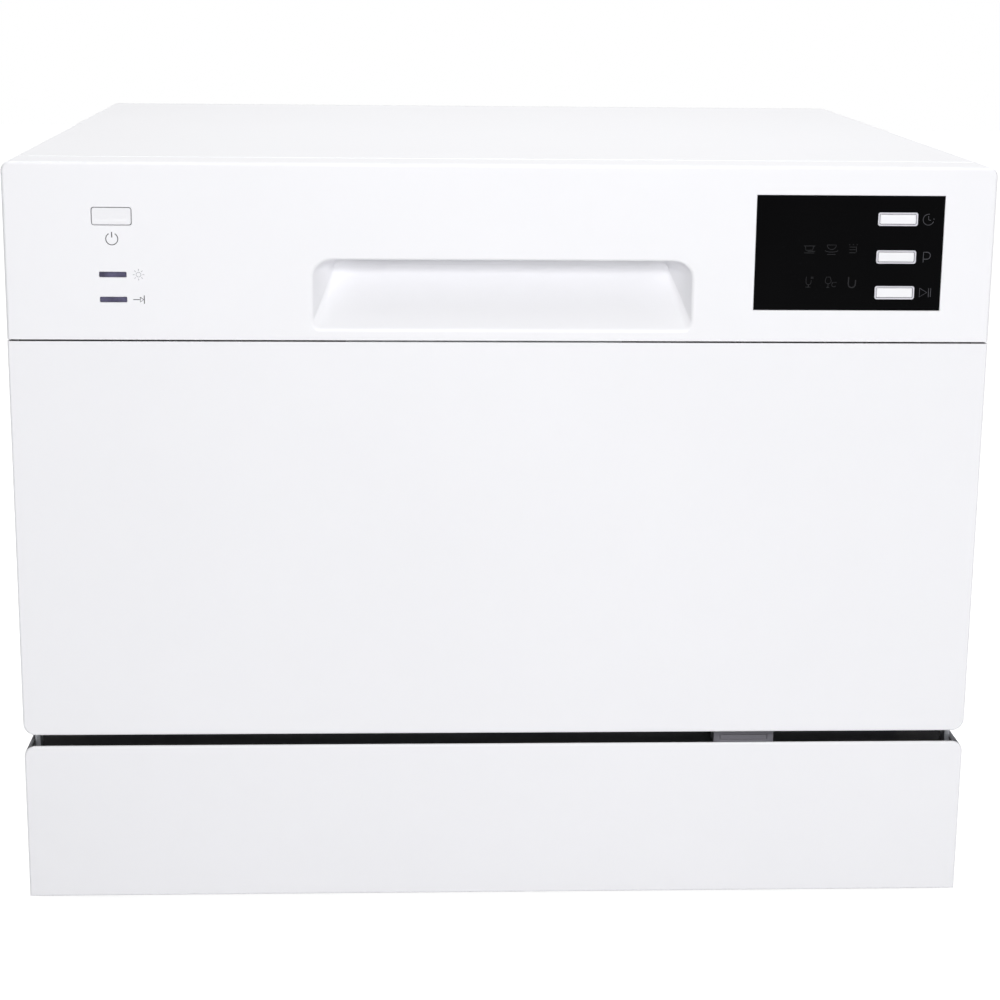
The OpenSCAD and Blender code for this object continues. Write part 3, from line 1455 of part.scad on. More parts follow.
cabinet_wrap();
rear_panel();
base_tray();
kick_plate();
tub_wrap();
tub_back();
tub_floor();
tub_seal();
sill_seal();
basket_rails();
sump();
filter_plate();
spray_hub();
wash_pump();
drain_pump();
water_heater();
circulation_hose();
drain_hose();
inlet_valve();
drain_outlet();
inlet_hose();
air_breather();
cord_gland();
power_box();
door_strike();
hinge_brackets();
harness_guide();
body_screws();
overflow_float();
filter_cup();
spray_arm();
foot_front_left();
foot_front_right();
foot_rear_left();
foot_rear_right();
door_outer_panel();
control_panel();
display_window();
button_frames();
indicator_lenses();
control_board();
door_liner();
door_lock();
dispenser_body();
hinge_arms();
liner_screws();
dispenser_lid();
rinse_cap();
dispenser_latch();
power_button();
delay_button();
program_button();
start_button();
basket_frame();
cutlery_basket();
cup_shelf();
wheel_front_left();
wheel_front_right();
wheel_rear_left();
wheel_rear_right();
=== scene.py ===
import json
import math

import bmesh
import bpy
from mathutils import Matrix, Vector


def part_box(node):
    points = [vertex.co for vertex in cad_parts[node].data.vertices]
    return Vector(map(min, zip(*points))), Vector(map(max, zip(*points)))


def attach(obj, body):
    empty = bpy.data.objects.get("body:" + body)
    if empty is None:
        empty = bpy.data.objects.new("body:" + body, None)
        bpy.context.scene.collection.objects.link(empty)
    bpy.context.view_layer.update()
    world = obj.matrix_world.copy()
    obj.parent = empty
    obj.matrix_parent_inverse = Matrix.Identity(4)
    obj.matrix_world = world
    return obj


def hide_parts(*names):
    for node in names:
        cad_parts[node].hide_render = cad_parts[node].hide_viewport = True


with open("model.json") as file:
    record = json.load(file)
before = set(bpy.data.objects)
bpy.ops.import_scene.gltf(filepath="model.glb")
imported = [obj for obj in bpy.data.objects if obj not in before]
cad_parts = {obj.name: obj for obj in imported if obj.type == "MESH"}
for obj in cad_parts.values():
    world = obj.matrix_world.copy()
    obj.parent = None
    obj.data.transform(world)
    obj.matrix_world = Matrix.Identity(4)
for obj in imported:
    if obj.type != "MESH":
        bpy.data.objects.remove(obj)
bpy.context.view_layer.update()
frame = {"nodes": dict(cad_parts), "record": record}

# The four levelling feet
# Each is a black rubber pad moulded on a zinc-plated stud. The stud screws up into a
# column of the base tray, so that the machine can be levelled on the counter.
MM = 0.001
FOOT_PLACES = {
    "foot_front_left": (-235, -200), "foot_front_right": (235, -200),
    "foot_rear_left": (-235, 200), "foot_rear_right": (235, 200),
}
PAD_R, PAD_H, STUD_R, STUD_TOP = 17, 6, 4, 46


def take(piece):
    """Makes a piece the only selected one, and the active one."""
    bpy.ops.object.select_all(action="DESELECT")
    piece.select_set(True)
    bpy.context.view_layer.objects.active = piece
    return piece


def started(name):
    """Names the primitive that was just added, and puts its place in its mesh."""
    piece = bpy.context.object
    bpy.ops.object.transform_apply()
    piece.name = piece.data.name = name
    return piece


def block(name, low, high):
    """A block between two corners, in millimetres, as a start to shape."""
    bpy.ops.object.select_all(action="DESELECT")
    bpy.ops.mesh.primitive_cube_add(
        size=1,
        location=[(a + b) / 2 * MM for a, b in zip(low, high)],
        scale=[(b - a) * MM for a, b in zip(low, high)],
    )
    return started(name)


def post(name, at, radius, length, axis="z", sides=48):
    """A cylinder that starts at a point and runs along an axis, as a start to shape."""
    turn = {"x": (0, math.pi / 2, 0), "y": (-math.pi / 2, 0, 0), "z": (0, 0, 0)}[axis]
    middle = [value + (length / 2 if axis == name_ else 0) for value, name_ in zip(at, "xyz")]
    bpy.ops.object.select_all(action="DESELECT")
    bpy.ops.mesh.primitive_cylinder_add(
        vertices=sides, radius=radius * MM, depth=length * MM,
        location=[value * MM for value in middle], rotation=turn,
    )
    return started(name)


def edit(piece):
    """Opens a piece in edit mode."""
    take(piece)
    bpy.ops.object.mode_set(mode="EDIT")


def close():
    """Leaves edit mode."""
    bpy.ops.object.mode_set(mode="OBJECT")


def within(x=(-999, 999), y=(-999, 999), z=(-999, 999), facing=None):
    """A test for what lies wholly between limits in millimetres, and faces one way."""
    def test(part):
        corners = getattr(part, "verts", None) or [part]
        return all(
            low - 0.02 <= value / MM <= high + 0.02
            for corner in corners
            for value, (low, high) in zip(corner.co, (x, y, z))
        ) and (facing is None or part.normal.dot(Vector(facing)) > 0.95)
    return test


def choose(kind, test):
    """Selects the faces, edges or corners of the open piece that pass a test."""
    bpy.ops.mesh.select_mode(type=kind)
    bpy.ops.mesh.select_all(action="DESELECT")
    mesh = bmesh.from_edit_mesh(bpy.context.edit_object.data)
    mesh.normal_update()
    for part in {"FACE": mesh.faces, "EDGE": mesh.edges, "VERT": mesh.verts}[kind]:
        if test(part):
            part.select_set(True)
    mesh.select_flush_mode()
    bmesh.update_edit_mesh(bpy.context.edit_object.data)


def round_off(test, radius, steps=4):
    """Rounds the edges that pass a test."""
    choose("EDGE", test)
    bpy.ops.mesh.bevel(offset=radius * MM, segments=steps, affect="EDGES")


def inset(width, depth=0.0):
    """Insets the chosen faces, and sinks or raises them."""
    bpy.ops.mesh.inset(thickness=width * MM, depth=depth * MM)


def pull(x=0.0, y=0.0, z=0.0):
    """Extrudes the chosen faces and moves them by an amount in millimetres."""
    bpy.ops.mesh.extrude_region_move(
        TRANSFORM_OT_translate={"value": (x * MM, y * MM, z * MM)}
    )


def shift(x=0.0, y=0.0, z=0.0):
    """Moves what is chosen."""
    bpy.ops.transform.translate(value=(x * MM, y * MM, z * MM))


def stretch(factors, centre):
    """Scales what is chosen about a point in millimetres."""
    bpy.ops.transform.resize(value=factors, center_override=[c * MM for c in centre])


def apply_all(piece):
    """Applies the modifiers of a piece."""
    take(piece)
    for modifier in list(piece.modifiers):
        bpy.ops.object.modifier_apply(modifier=modifier.name)


def even_shading(piece, sharp=40):
    """Smooth shading that keeps flat faces flat."""
    take(piece)
    bpy.ops.mesh.customdata_custom_splitnormals_clear()
    bpy.ops.object.shade_smooth_by_angle(angle=math.radians(sharp))
    weighted = piece.modifiers.new("Even shading", "WEIGHTED_NORMAL")
    weighted.keep_sharp = True
    apply_all(piece)


def soften(piece, width, steps=3, sharp=30):
    """Rounds all sharp edges a little, as a tool or a mould leaves them."""
    bevel = piece.modifiers.new("Rounded edges", "BEVEL")
    bevel.width = width * MM
    bevel.segments = steps
    bevel.limit_method = "ANGLE"
    bevel.angle_limit = math.radians(sharp)
    apply_all(piece)
    even_shading(piece)
    return piece


def moved_copy(piece, name, move):
    """A copy with its own mesh, moved by an amount in millimetres."""
    copy = piece.copy()
    copy.data = piece.data.copy()
    copy.name = copy.data.name = name
    bpy.context.collection.objects.link(copy)
    copy.data.transform(Matrix.Translation([m * MM for m in move]))
    return copy


def shade(red, green, blue):
    """A colour as the screen writes it, 0 to 255, for a shader."""
    return tuple(
        c / 255 / 12.92 if c <= 10 else ((c / 255 + 0.055) / 1.055) ** 2.4
        for c in (red, green, blue)
    ) + (1.0,)


def group_of(name, inputs, outputs):
    """An empty shader group with named sockets."""
    tree = bpy.data.node_groups.new(name, "ShaderNodeTree")
    for label, start in inputs.items():
        kind = "NodeSocketFloat"
        if isinstance(start, tuple):
            kind = "NodeSocketColor" if len(start) == 4 else "NodeSocketVector"
        socket = tree.interface.new_socket(label, in_out="INPUT", socket_type=kind)
        socket.default_value = start
    for label in outputs:
        kind = "NodeSocketColor" if "olour" in label else "NodeSocketFloat"
        tree.interface.new_socket(label, in_out="OUTPUT", socket_type=kind)
    return tree, tree.nodes.new("NodeGroupInput"), tree.nodes.new("NodeGroupOutput")


def node_in(tree, kind, links=None, **values):
    """Adds a node, sets its sockets by name or number, and links others to it."""
    node = tree.nodes.new(kind)
    for key, value in values.items():
        setattr(node, key, value)
    for socket, source in (links or {}).items():
        if isinstance(source, bpy.types.NodeSocket):
            tree.links.new(source, node.inputs[socket])
        else:
            node.inputs[socket].default_value = source
    return node


def noise(tree, place, scale, detail, roughness):
    """Soft seeded noise over the surface."""
    return node_in(tree, "ShaderNodeTexNoise", {
        "Vector": place, "Scale": scale, "Detail": detail, "Roughness": roughness,
    }).outputs["Fac"]


def ranged(tree, value, low, high, to_low=0.0, to_high=1.0):
    """A value stretched from one range to another."""
    return node_in(tree, "ShaderNodeMapRange", {
        "Value": value, "From Min": low, "From Max": high, "To Min": to_low, "To Max": to_high,
    }).outputs["Result"]


def mixed(tree, share, low, high):
    """A colour between two others."""
    return node_in(
        tree, "ShaderNodeMix", {0: share, 6: low, 7: high}, data_type="RGBA"
    ).outputs[2]


def added(tree, one, other):
    """The sum of two values."""
    return node_in(tree, "ShaderNodeMath", {0: one, 1: other}, operation="ADD").outputs[0]


def face_group(name, extra):
    """A group that gives a face its tone, dullness and grain, with its object coordinates."""
    white = (1, 1, 1, 1)
    tree, given, out = group_of(
        name, {"Colour": white, "Deep colour": white, "Smooth": 0.3, "Dull": 0.4, **extra},
        ("Colour", "Dullness", "Grain"),
    )
    return tree, given.outputs, out, node_in(tree, "ShaderNodeTexCoord").outputs["Object"]


def group_ends(tree, given, out, spread, dull_share, grain):
    """Links the spread of tones, the dullness and the grain to the group's outputs."""
    tone = mixed(tree, spread, given["Deep colour"], given["Colour"])
    dullness = ranged(tree, *dull_share, given["Smooth"], given["Dull"])
    for source, label in ((tone, "Colour"), (dullness, "Dullness"), (grain, "Grain")):
        tree.links.new(source, out.inputs[label])
    return tree


def moulded_group():
    """Slight unevenness of a moulded or painted face: tone, dullness and fine grain."""
    tree, given, out, place = face_group("Moulded face", {"Patch scale": 9.0, "Grain scale": 900.0})
    grain = noise(tree, place, given["Grain scale"], 2.0, 0.6)
    spread = ranged(tree, noise(tree, place, given["Patch scale"], 4.0, 0.55), 0.32, 0.68)
    return group_ends(tree, given, out, spread, (added(tree, spread, grain), 0.3, 1.7), grain)


def brushed_group():
    """Long fine lines of rolled or brushed steel, with faint wiped patches."""
    tree, given, out, place = face_group("Brushed face", {"Line scale": (8.0, 700.0, 700.0)})
    along = node_in(
        tree, "ShaderNodeVectorMath", {0: place, 1: given["Line scale"]}, operation="MULTIPLY"
    ).outputs[0]
    lines = noise(tree, along, 1.0, 3.0, 0.6)
    spread = ranged(tree, added(tree, lines, noise(tree, place, 7.0, 3.0, 0.6)), 0.65, 1.35)
    return group_ends(tree, given, out, spread, (spread, 0.0, 1.0), lines)


MOULDED, BRUSHED = moulded_group(), brushed_group()


def new_material(name):
    """A material with its tree, its shader and nothing else."""
    material = bpy.data.materials.new(name)
    material.use_nodes = True
    return material, material.node_tree, material.node_tree.nodes["Principled BSDF"]


def grained(name, group, colour, deep, smooth, dull, depth, extra):
    """A material whose colour, dullness and fine relief come from a shader group."""
    material, tree, shader = new_material(name)
    face = node_in(tree, "ShaderNodeGroup", {
        "Colour": shade(*colour), "Deep colour": shade(*deep), "Smooth": smooth, "Dull": dull, **extra,
    }, node_tree=group)
    bump = node_in(tree, "ShaderNodeBump", {
        "Strength": 1.0, "Distance": depth * MM, "Height": face.outputs["Grain"],
    })
    tree.links.new(face.outputs["Colour"], shader.inputs["Base Color"])
    tree.links.new(face.outputs["Dullness"], shader.inputs["Roughness"])
    tree.links.new(bump.outputs["Normal"], shader.inputs["Normal"])
    return material, shader.inputs


def moulded(name, colour, deep, smooth, dull, grain=900.0, depth=0.02, patch=9.0, gloss=0.5):
    """A painted or moulded material: two near tones, a range of dullness, fine grain."""
    material, given = grained(
        name, MOULDED, colour, deep, smooth, dull, depth,
        {"Patch scale": patch, "Grain scale": grain},
    )
    given["Specular IOR Level"].default_value = gloss
    return material


def steel(name, colour, deep, smooth, dull, lines=(8.0, 700.0, 700.0), depth=0.01):
    """Bare or plated steel with its rolling lines along one axis."""
    material, given = grained(
        name, BRUSHED, colour, deep, smooth, dull, depth, {"Line scale": lines}
    )
    given["Metallic"].default_value = 1.0
    return material


def coat(piece, *materials):
    """Gives a piece its materials in place of any that it has."""
    piece.data.materials.clear()
    for material in materials:
        piece.data.materials.append(material)


def second_coat(piece, test):
    """Gives the piece's second material to the faces that pass a test."""
    edit(piece)
    choose("FACE", test)
    piece.active_material_index = 1
    bpy.ops.object.material_slot_assign()
    close()


foot_rubber = moulded("Foot rubber", (38, 38, 39), (28, 28, 29), 0.62, 0.8, 1500, 0.03, 30)
zinc = steel("Zinc plated steel", (190, 192, 196), (160, 163, 170), 0.3, 0.5, (60, 60, 700))



def from_stud(corner):
    """How far a corner lies from the stud's axis, in millimetres."""
    return math.hypot(corner.co.x / MM - foot_x, corner.co.y / MM - foot_y)


def pad_rim(z):
    """A test for the pad's outer rim at a height."""
    return lambda e: within(z=(z, z))(e) and all(from_stud(v) > PAD_R - 0.1 for v in e.verts)


first = None
for foot_name, (foot_x, foot_y) in FOOT_PLACES.items():
    if first is None:
        first = post(foot_name + "_pad", (foot_x, foot_y, 0), PAD_R, PAD_H)
        edit(first)
        # Hollow underside with a ring to stand on
        choose("FACE", within(z=(0, 0)))
        inset(3)
        inset(0.8, -1.2)
        # Shoulder, then the stud with its thread
        choose("FACE", within(z=(PAD_H, PAD_H)))
        inset(2.2)
        inset(PAD_R - 2.2 - STUD_R)
        grooves, root = 14, 0.84
        for turn in range(grooves):
            pull(z=0.5)
            stretch((root, root, 1), (foot_x, foot_y, 0))
            pull(z=0.4)
            stretch((1 / root, 1 / root, 1), (foot_x, foot_y, 0))
        pull(z=STUD_TOP - PAD_H - 0.9 * grooves)
        round_off(pad_rim(0), 1.0, 3)
        round_off(pad_rim(PAD_H), 1.6, 3)
        close()
        coat(first, foot_rubber, zinc)
        even_shading(first)
        second_coat(first, lambda f: all(
            from_stud(v) < STUD_R + 0.2 for v in f.verts
        ) and f.calc_center_median().z > (PAD_H - 0.5) * MM)
        foot, home = first, (foot_x, foot_y)
    else:
        foot = moved_copy(first, foot_name + "_pad", (foot_x - home[0], foot_y - home[1], 0))
    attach(foot, foot_name)
    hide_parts(foot_name)

# The base tray
# One deep moulding of black plastic that carries the whole machine. It holds the pumps, has a
# niche for the connections in its rear and a hollow column over each foot.
BODY_OF = {
    node: body
    for body, nodes in frame["record"]["behaviour"]["bodies"].items()
    for node in nodes
}


def finished(piece, body, slot, *nodes):
    """Puts a piece on the body it rides on and hides the CAD pieces it stands for; the slot, naming its
    finish, is not used.
    """
    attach(piece, body)
    if nodes:
        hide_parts(*nodes)


def reworked(node, name, width, slot, *materials, steps=2, sharp=30):
    """A copy of a CAD piece with joined corners, whole flat faces and rounded edges."""
    piece = frame["nodes"][node].copy()
    piece.data = piece.data.copy()
    piece.parent = None
    for key in list(piece.keys()):
        del piece[key]
    piece.name = piece.data.name = name
    bpy.context.collection.objects.link(piece)
    edit(piece)
    bpy.ops.mesh.select_all(action="SELECT")
    bpy.ops.mesh.remove_doubles(threshold=0.00002)
    bpy.ops.mesh.dissolve_limited(angle_limit=math.radians(1))
    close()
    coat(piece, *materials)
    soften(piece, width, steps, sharp)
    finished(piece, BODY_OF[node], slot, node)
    return piece


tray_black = moulded("Black tray plastic", (34, 34, 36), (24, 24, 26), 0.5, 0.72, 700, 0.04, 14)
reworked("base_tray", "base_tray_moulding", 0.8, "tray_black", tray_black)

# Pumps, heater, hoses and the air break
# Bought-in parts that stand in the tray and hang beside the tub: black pumps, a steel heater
# tube, rubber hoses pushed on ribbed stubs, and the pale air break on the tub's right side.
pump_black = moulded("Pump plastic", (44, 45, 48), (33, 34, 37), 0.42, 0.65, 800, 0.03, 20)
hose_rubber = moulded("Hose rubber", (52, 52, 54), (38, 38, 40), 0.6, 0.78, 1300, 0.03, 26)
heater_steel = steel("Drawn heater tube", (182, 184, 186), (148, 150, 154), 0.25, 0.45, (40, 700, 40))
breather_plastic = moulded(
    "Pale air break plastic", (214, 219, 222), (198, 204, 208), 0.32, 0.5, 600, 0.03, 16
)
for node, material in {
    "wash_pump": pump_black, "drain_pump": pump_black, "water_heater": heater_steel,
    "circulation_hose": hose_rubber, "drain_hose": hose_rubber, "inlet_hose": hose_rubber,
    "power_box": pump_black,
}.items():
    coat(frame["nodes"][node], material)
reworked("air_breather", "air_break", 1.2, "breather_plastic", breather_plastic, steps=3)

# The connections in the rear niche
# The water valve has a white moulded body with a threaded stub through the tray's wall. The
# drain ends in a black nipple, and the mains cord would come in through a flanged gland.
INLET = (195, 62)
THREAD_R, ROOT_R, FLANGE_R = 13.2, 12.3, 17.2


def cut(piece, *tools, how="DIFFERENCE"):
    """Cuts a piece with others, or welds them on, and takes these others away."""
    for tool in tools:
        boolean = piece.modifiers.new("Cut", "BOOLEAN")
        boolean.operation = how
        boolean.solver = "EXACT"
        boolean.object = tool
        apply_all(piece)
        bpy.data.objects.remove(tool)


def welded(piece, *others):
    """Joins pieces into one mesh."""
    take(piece)
    for other in others:
        other.select_set(True)
    bpy.ops.object.join()
    return piece


valve_white = moulded("Valve plastic", (226, 226, 223), (213, 213, 209), 0.32, 0.48, 700, 0.03, 24)
valve = block("inlet_valve_body", (177, 172.5, 44), (213, 212.5, 80))
stub = post("stub", (INLET[0], 212.5, INLET[1]), ROOT_R, 2.5, "y")
edit(stub)
choose("FACE", within(y=(215, 215)))
pull(y=2)
stretch((FLANGE_R / ROOT_R, 1, FLANGE_R / ROOT_R), (INLET[0], 0, INLET[1]))
choose("FACE", within(y=(217, 217)))
inset(FLANGE_R - ROOT_R)
for turn in range(9):
    for width, step in ((THREAD_R, 0.7), (THREAD_R, 0.3), (ROOT_R, 0.7), (ROOT_R, 0.3)):
        now = max(v.co.x for v in bmesh.from_edit_mesh(stub.data).verts if v.select) / MM - INLET[0]
        pull(y=step)
        stretch((width / now, 1, width / now), (INLET[0], 0, INLET[1]))
inset(2.6)
pull(y=-22)
close()
solenoid = post("solenoid", (149, 190.5, 62), 13, 28, "x")
foot = block("valve_foot", (185, 180.5, 11), (205, 204.5, 44))
for part in (valve, solenoid, foot):
    soften(part, 1.2)
even_shading(stub)
valve = welded(valve, stub, solenoid, foot)
coat(valve, valve_white)
finished(valve, "cabinet", "valve_white", "inlet_valve")
reworked("drain_outlet", "drain_nipple_tube", 0.5, "pump_black", pump_black)
reworked("cord_gland", "cord_gland_ring", 0.6, "tray_black", tray_black)

# The tub
# Stainless sheet, folded and welded, with wide round corners, a shallow pressed panel in each
# wall, and a flange that is screwed to the cabinet round the mouth.
TUB_LOW, TUB_HIGH = (-245, -211.5, 129), (245, 204.5, 418)


def tub_form(name, grow, low):
    """The tub's inner or outer form, with its round corners and pressed panels."""
    form = block(
        name,
        (TUB_LOW[0] - grow, TUB_LOW[1] - 1 - 2 * (1 - grow), low),
        (TUB_HIGH[0] + grow, TUB_HIGH[1] + grow, TUB_HIGH[2] + grow),
    )
    edit(form)
    side, back, top = TUB_HIGH[0] + grow, TUB_HIGH[1] + grow, TUB_HIGH[2] + grow
    round_off(lambda e: (
        within(z=(top, top))(e) and any(within(x=(s, s))(e) for s in (-side, side))
    ) or (within(y=(back, back))(e) and not within(z=(low, low))(e)), 18 + grow, 6)
    for facing, rim in (((1, 0, 0), 22), ((-1, 0, 0), 22), ((0, 1, 0), 34)):
        choose("FACE", lambda f: f.normal.dot(Vector(facing)) > 0.99 and f.calc_area() > 0.02)
        inset(rim)
        inset(6, 2)
    close()
    return form


stainless = steel("Stainless tub sheet", (196, 196, 194), (170, 170, 169), 0.16, 0.32, (500, 8, 14))
tub = tub_form("tub_shell", 1, 129)
flange = block("flange", (-269, -212.5, 95), (269, -211.5, 433))
edit(flange)
round_off(lambda e: within(z=(433, 433))(e) and any(within(x=(s, s))(e) for s in (-269, 269)), 6)
close()
cut(tub, flange, how="UNION")
cut(tub, tub_form("tub_space", 0, 90))
coat(tub, stainless)
even_shading(tub, 25)
finished(tub, "cabinet", "stainless", "tub_wrap", "tub_back")

# The tub's floor, its seals and its rails
# The floor is a grey moulding with a well round the spray arm. A black rubber seal runs round
# the mouth, a lip seal closes its lower edge, and moulded rails carry the basket's wheels.
floor_grey = moulded("Tub floor plastic", (204, 207, 210), (190, 194, 198), 0.3, 0.46, 500, 0.03, 10)
seal_rubber = moulded("Mouth seal rubber", (62, 62, 64), (48, 48, 50), 0.6, 0.75, 1300, 0.03, 22)
reworked("tub_floor", "tub_floor_moulding", 1.0, "floor_grey", floor_grey)
reworked("tub_seal", "mouth_seal", 0.9, "seal_rubber", seal_rubber, steps=3)
reworked("sill_seal", "lip_seal", 0.8, "seal_rubber", seal_rubber, steps=3)
reworked("basket_rails", "basket_rail_pair", 0.7, "rail_grey", floor_grey)

# The sump, the filters and the spray hub
# The sump is moulded in dark plastic. A fine etched steel plate covers it, with a filter cup
# that twists out, and the hub's pipe brings the water up to the arm.
sump_grey = moulded("Sump plastic", (86, 89, 93), (72, 75, 79), 0.4, 0.6, 700, 0.03, 16)


def etched_steel():
    """Steel plate with a tight field of tiny holes between its larger ones."""
    material = steel("Etched filter plate", (176, 177, 178), (150, 151, 153), 0.3, 0.5, (300, 300, 20))
    tree, shader = material.node_tree, material.node_tree.nodes["Principled BSDF"]
    place = node_in(tree, "ShaderNodeTexCoord").outputs["Object"]
    cells = node_in(tree, "ShaderNodeTexVoronoi", {
        "Vector": place, "Scale": 420.0, "Randomness": 0.0,
    }).outputs["Distance"]
    hole = ranged(tree, cells, 0.24, 0.34, 0.25, 1.0)
    steel_tone = shader.inputs["Base Color"].links[0].from_socket
    tone = mixed(tree, hole, (0.03, 0.03, 0.03, 1.0), steel_tone)
    tree.links.new(tone, shader.inputs["Base Color"])
    return material


filter_plastic = moulded("Filter plastic", (112, 117, 122), (96, 101, 106), 0.36, 0.55, 600, 0.03, 24)
coat(frame["nodes"]["sump"], sump_grey)
reworked("filter_plate", "filter_plate_sheet", 0.15, "filter_steel", etched_steel())
reworked("filter_cup", "filter_cup_moulding", 0.5, "filter_plastic", filter_plastic)
reworked("spray_hub", "spray_hub_pipe", 0.8, "filter_plastic", filter_plastic)

# The spray arm and the float
# The arm is two grey mouldings welded round their edge, hollow, with jets on its upper side.
# The float is a loose grey cap that lifts when the water stands too high.
arm_grey = moulded("Spray arm plastic", (148, 153, 158), (132, 137, 142), 0.34, 0.5, 600, 0.03, 18)
reworked("spray_arm", "spray_arm_moulding", 1.6, "arm_grey", arm_grey, steps=3)
reworked("overflow_float", "overflow_float_cap", 1.2, "arm_grey", arm_grey, steps=3)

# Hinge brackets, strike and wiring guide
# Zinc-plated steel brackets with riveted pins stand in the tray at both sides. A pressed
# strike sits at the top of the mouth, and a clip with a soft grommet guides the door's wires.
# The guide's grey is partly painted shade: a pale grey plastic written darker to stand for the shadow it sits
# in under the door.
guide_grey = moulded("Wiring guide plastic darkened as painted shade", (138, 136, 144), (128, 126, 134), 0.35, 0.5, 700, 0.03, 30)
reworked("hinge_brackets", "hinge_bracket_pair", 0.35, "zinc_steel", zinc)
reworked("door_strike", "lock_strike", 0.3, "zinc_steel", zinc)
reworked("harness_guide", "wiring_guide", 0.7, "guide_grey", guide_grey)
GUIDE_WALLS = (4.1, 0.2, 2.6)
guide_low, guide_high = [[c / MM for c in corner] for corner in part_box("harness_guide")]
grommet = block(
    "wiring_grommet", [c + wall for c, wall in zip(guide_low, GUIDE_WALLS)],
    [c - wall for c, wall in zip(guide_high, GUIDE_WALLS)],
)
soften(grommet, 0.3, 2)
# The grommet takes the same grey, with its painted shade.
coat(grommet, guide_grey)
finished(grommet, "cabinet", "guide_grey")

# The cabinet's outer sheet
# One sheet of 1 mm steel, powder coated white, folded over the top with 5 mm bends. Narrow
# lips turn in round the mouth, and a flange at the rear takes the panel's screws.
HALF_W, TOP_Z, SKIRT_Z = 275, 438, 8
CABINET_FRONT, CABINET_REAR = -213.5, 247.5
SHEET, TOP_BEND = 1, 5


def at_any(x, z):
    """A test for edges that run along Y at the height z and at x on either side."""
    return lambda e: within(z=(z, z))(e) and any(within(x=(s * x, s * x))(e) for s in (-1, 1))


painted_white = moulded("White powder coat", (241, 241, 244), (239, 239, 242), 0.34, 0.42, 900, 0.012, 5)
cabinet = block("cabinet_sheet", (-HALF_W, CABINET_FRONT, SKIRT_Z), (HALF_W, CABINET_REAR, TOP_Z))
edit(cabinet)
round_off(at_any(HALF_W, TOP_Z), TOP_BEND, 8)
round_off(lambda e: (
    within(y=(CABINET_FRONT, CABINET_FRONT))(e) and not within(z=(SKIRT_Z, SKIRT_Z))(e)
), 1.2, 3)
close()
inner_half, inner_top, mouth_sill, below = HALF_W - SHEET, TOP_Z - SHEET, 95.5, SKIRT_Z - 3
inside = block(
    "inside", (-inner_half, CABINET_FRONT + SHEET, below),
    (inner_half, CABINET_REAR - SHEET, inner_top),
)
edit(inside)
round_off(at_any(inner_half, inner_top), TOP_BEND - SHEET, 8)
close()
cut(
    cabinet, inside,
    block("mouth", (-258, -217, mouth_sill), (258, -210, 427)),
    block("below_mouth", (-inner_half, -217, below), (inner_half, -210, mouth_sill)),
    block("rear_opening", (-262, 245, below), (262, 250, 425)),
)
coat(cabinet, painted_white)
even_shading(cabinet)
finished(cabinet, "cabinet", "painted_white", "cabinet_wrap")

# The rear panel and its screws
# Galvanised sheet, with a pressed field that stiffens it and six louvres that let warm air
# out. Seven pan head screws hold it to the cabinet's flange.
galvanised = steel("Galvanised sheet", (186, 188, 190), (158, 161, 165), 0.35, 0.55, (30, 30, 30))
LOUVRES = [(x, z) for x in (-170, 170) for z in (352, 366, 380)]
SCREW_PLACES = [(0, 431), (-203.5, 431), (203.5, 431), (-268, 135), (268, 135), (-268, 269), (268, 269)]
SCREW_SEAT = 248.5


def goes_in(e):
    """A test for edges that run from the front to the rear."""
    return abs(e.verts[0].co.y - e.verts[1].co.y) > 0.5 * MM


FIELD_RISE = 1
rear = block("rear_panel_sheet", (-HALF_W, CABINET_REAR, 95), (HALF_W, SCREW_SEAT, TOP_Z))
edit(rear)
choose("FACE", within(y=(SCREW_SEAT, SCREW_SEAT), facing=(0, 1, 0)))
inset(26)
pull(y=FIELD_RISE)
round_off(lambda e: within(x=(-252, 252), z=(118, 415))(e) and goes_in(e), 14, 8)
round_off(within(y=(SCREW_SEAT + FIELD_RISE, SCREW_SEAT + FIELD_RISE)), 0.9, 4)
round_off(at_any(HALF_W, TOP_Z), TOP_BEND, 6)
close()
coat(rear, galvanised)
louvre = None
for x, z in LOUVRES:
    if louvre is None:
        louvre = block("louvre", (x - 45, 249, z - 4), (x + 45, 249.95, z + 4))
        edit(louvre)
        choose("EDGE", lambda e: within(y=(249.9, 250), z=(z + 4, z + 4))(e))
        shift(y=-0.9, z=-1)
        choose("FACE", within(z=(z - 4, z - 4)))
        inset(0.3)
        pull(z=1.5)
        close()
        even_shading(louvre)
        coat(louvre, galvanised)
        parts, start = [louvre], (x, z)
    else:
        parts.append(moved_copy(louvre, "louvre", (x - start[0], 0, z - start[1])))
even_shading(rear, 25)
rear = welded(rear, *parts)
finished(rear, "cabinet", "galvanised", "rear_panel")


def cross_screw(name, at, radius, height, length):
    """A pan head screw with a cross recess, whose head faces the rear."""
    x, y, z = at
    screw = post(name, at, radius, height, "y", 32)
    edit(screw)
    choose("FACE", within(y=(y, y)))
    inset(radius - 1.5)
    pull(y=-length)
    round_off(lambda e: within(y=(y + height, y + height))(e), height * 0.75, 4)
    close()
    reach, floor = radius * 0.6, y + height * 0.3
    cut(
        screw,
        block("arm", (x - 0.4, floor, z - reach), (x + 0.4, y + 3, z + reach)),
        block("arm", (x - reach, floor, z - 0.4), (x + reach, y + 3, z + 0.4)),
    )
    even_shading(screw, 30)
    coat(screw, zinc)
    return screw


def screw_set(name, body, node, y, places, *sizes):
    """One screw and its copies at places across and up, for one CAD piece."""
    across, up = places[0]
    first_screw = cross_screw(name + "_1", (across, y, up), *sizes)
    for number, (x, z) in enumerate(places[1:], 2):
        finished(
            moved_copy(first_screw, f"{name}_{number}", (x - across, 0, z - up)),
            body, "zinc_steel",
        )
    finished(first_screw, body, "zinc_steel", node)


screw_set("body_screw", "cabinet", "body_screws", SCREW_SEAT, SCREW_PLACES, 4, 1.45, 8)

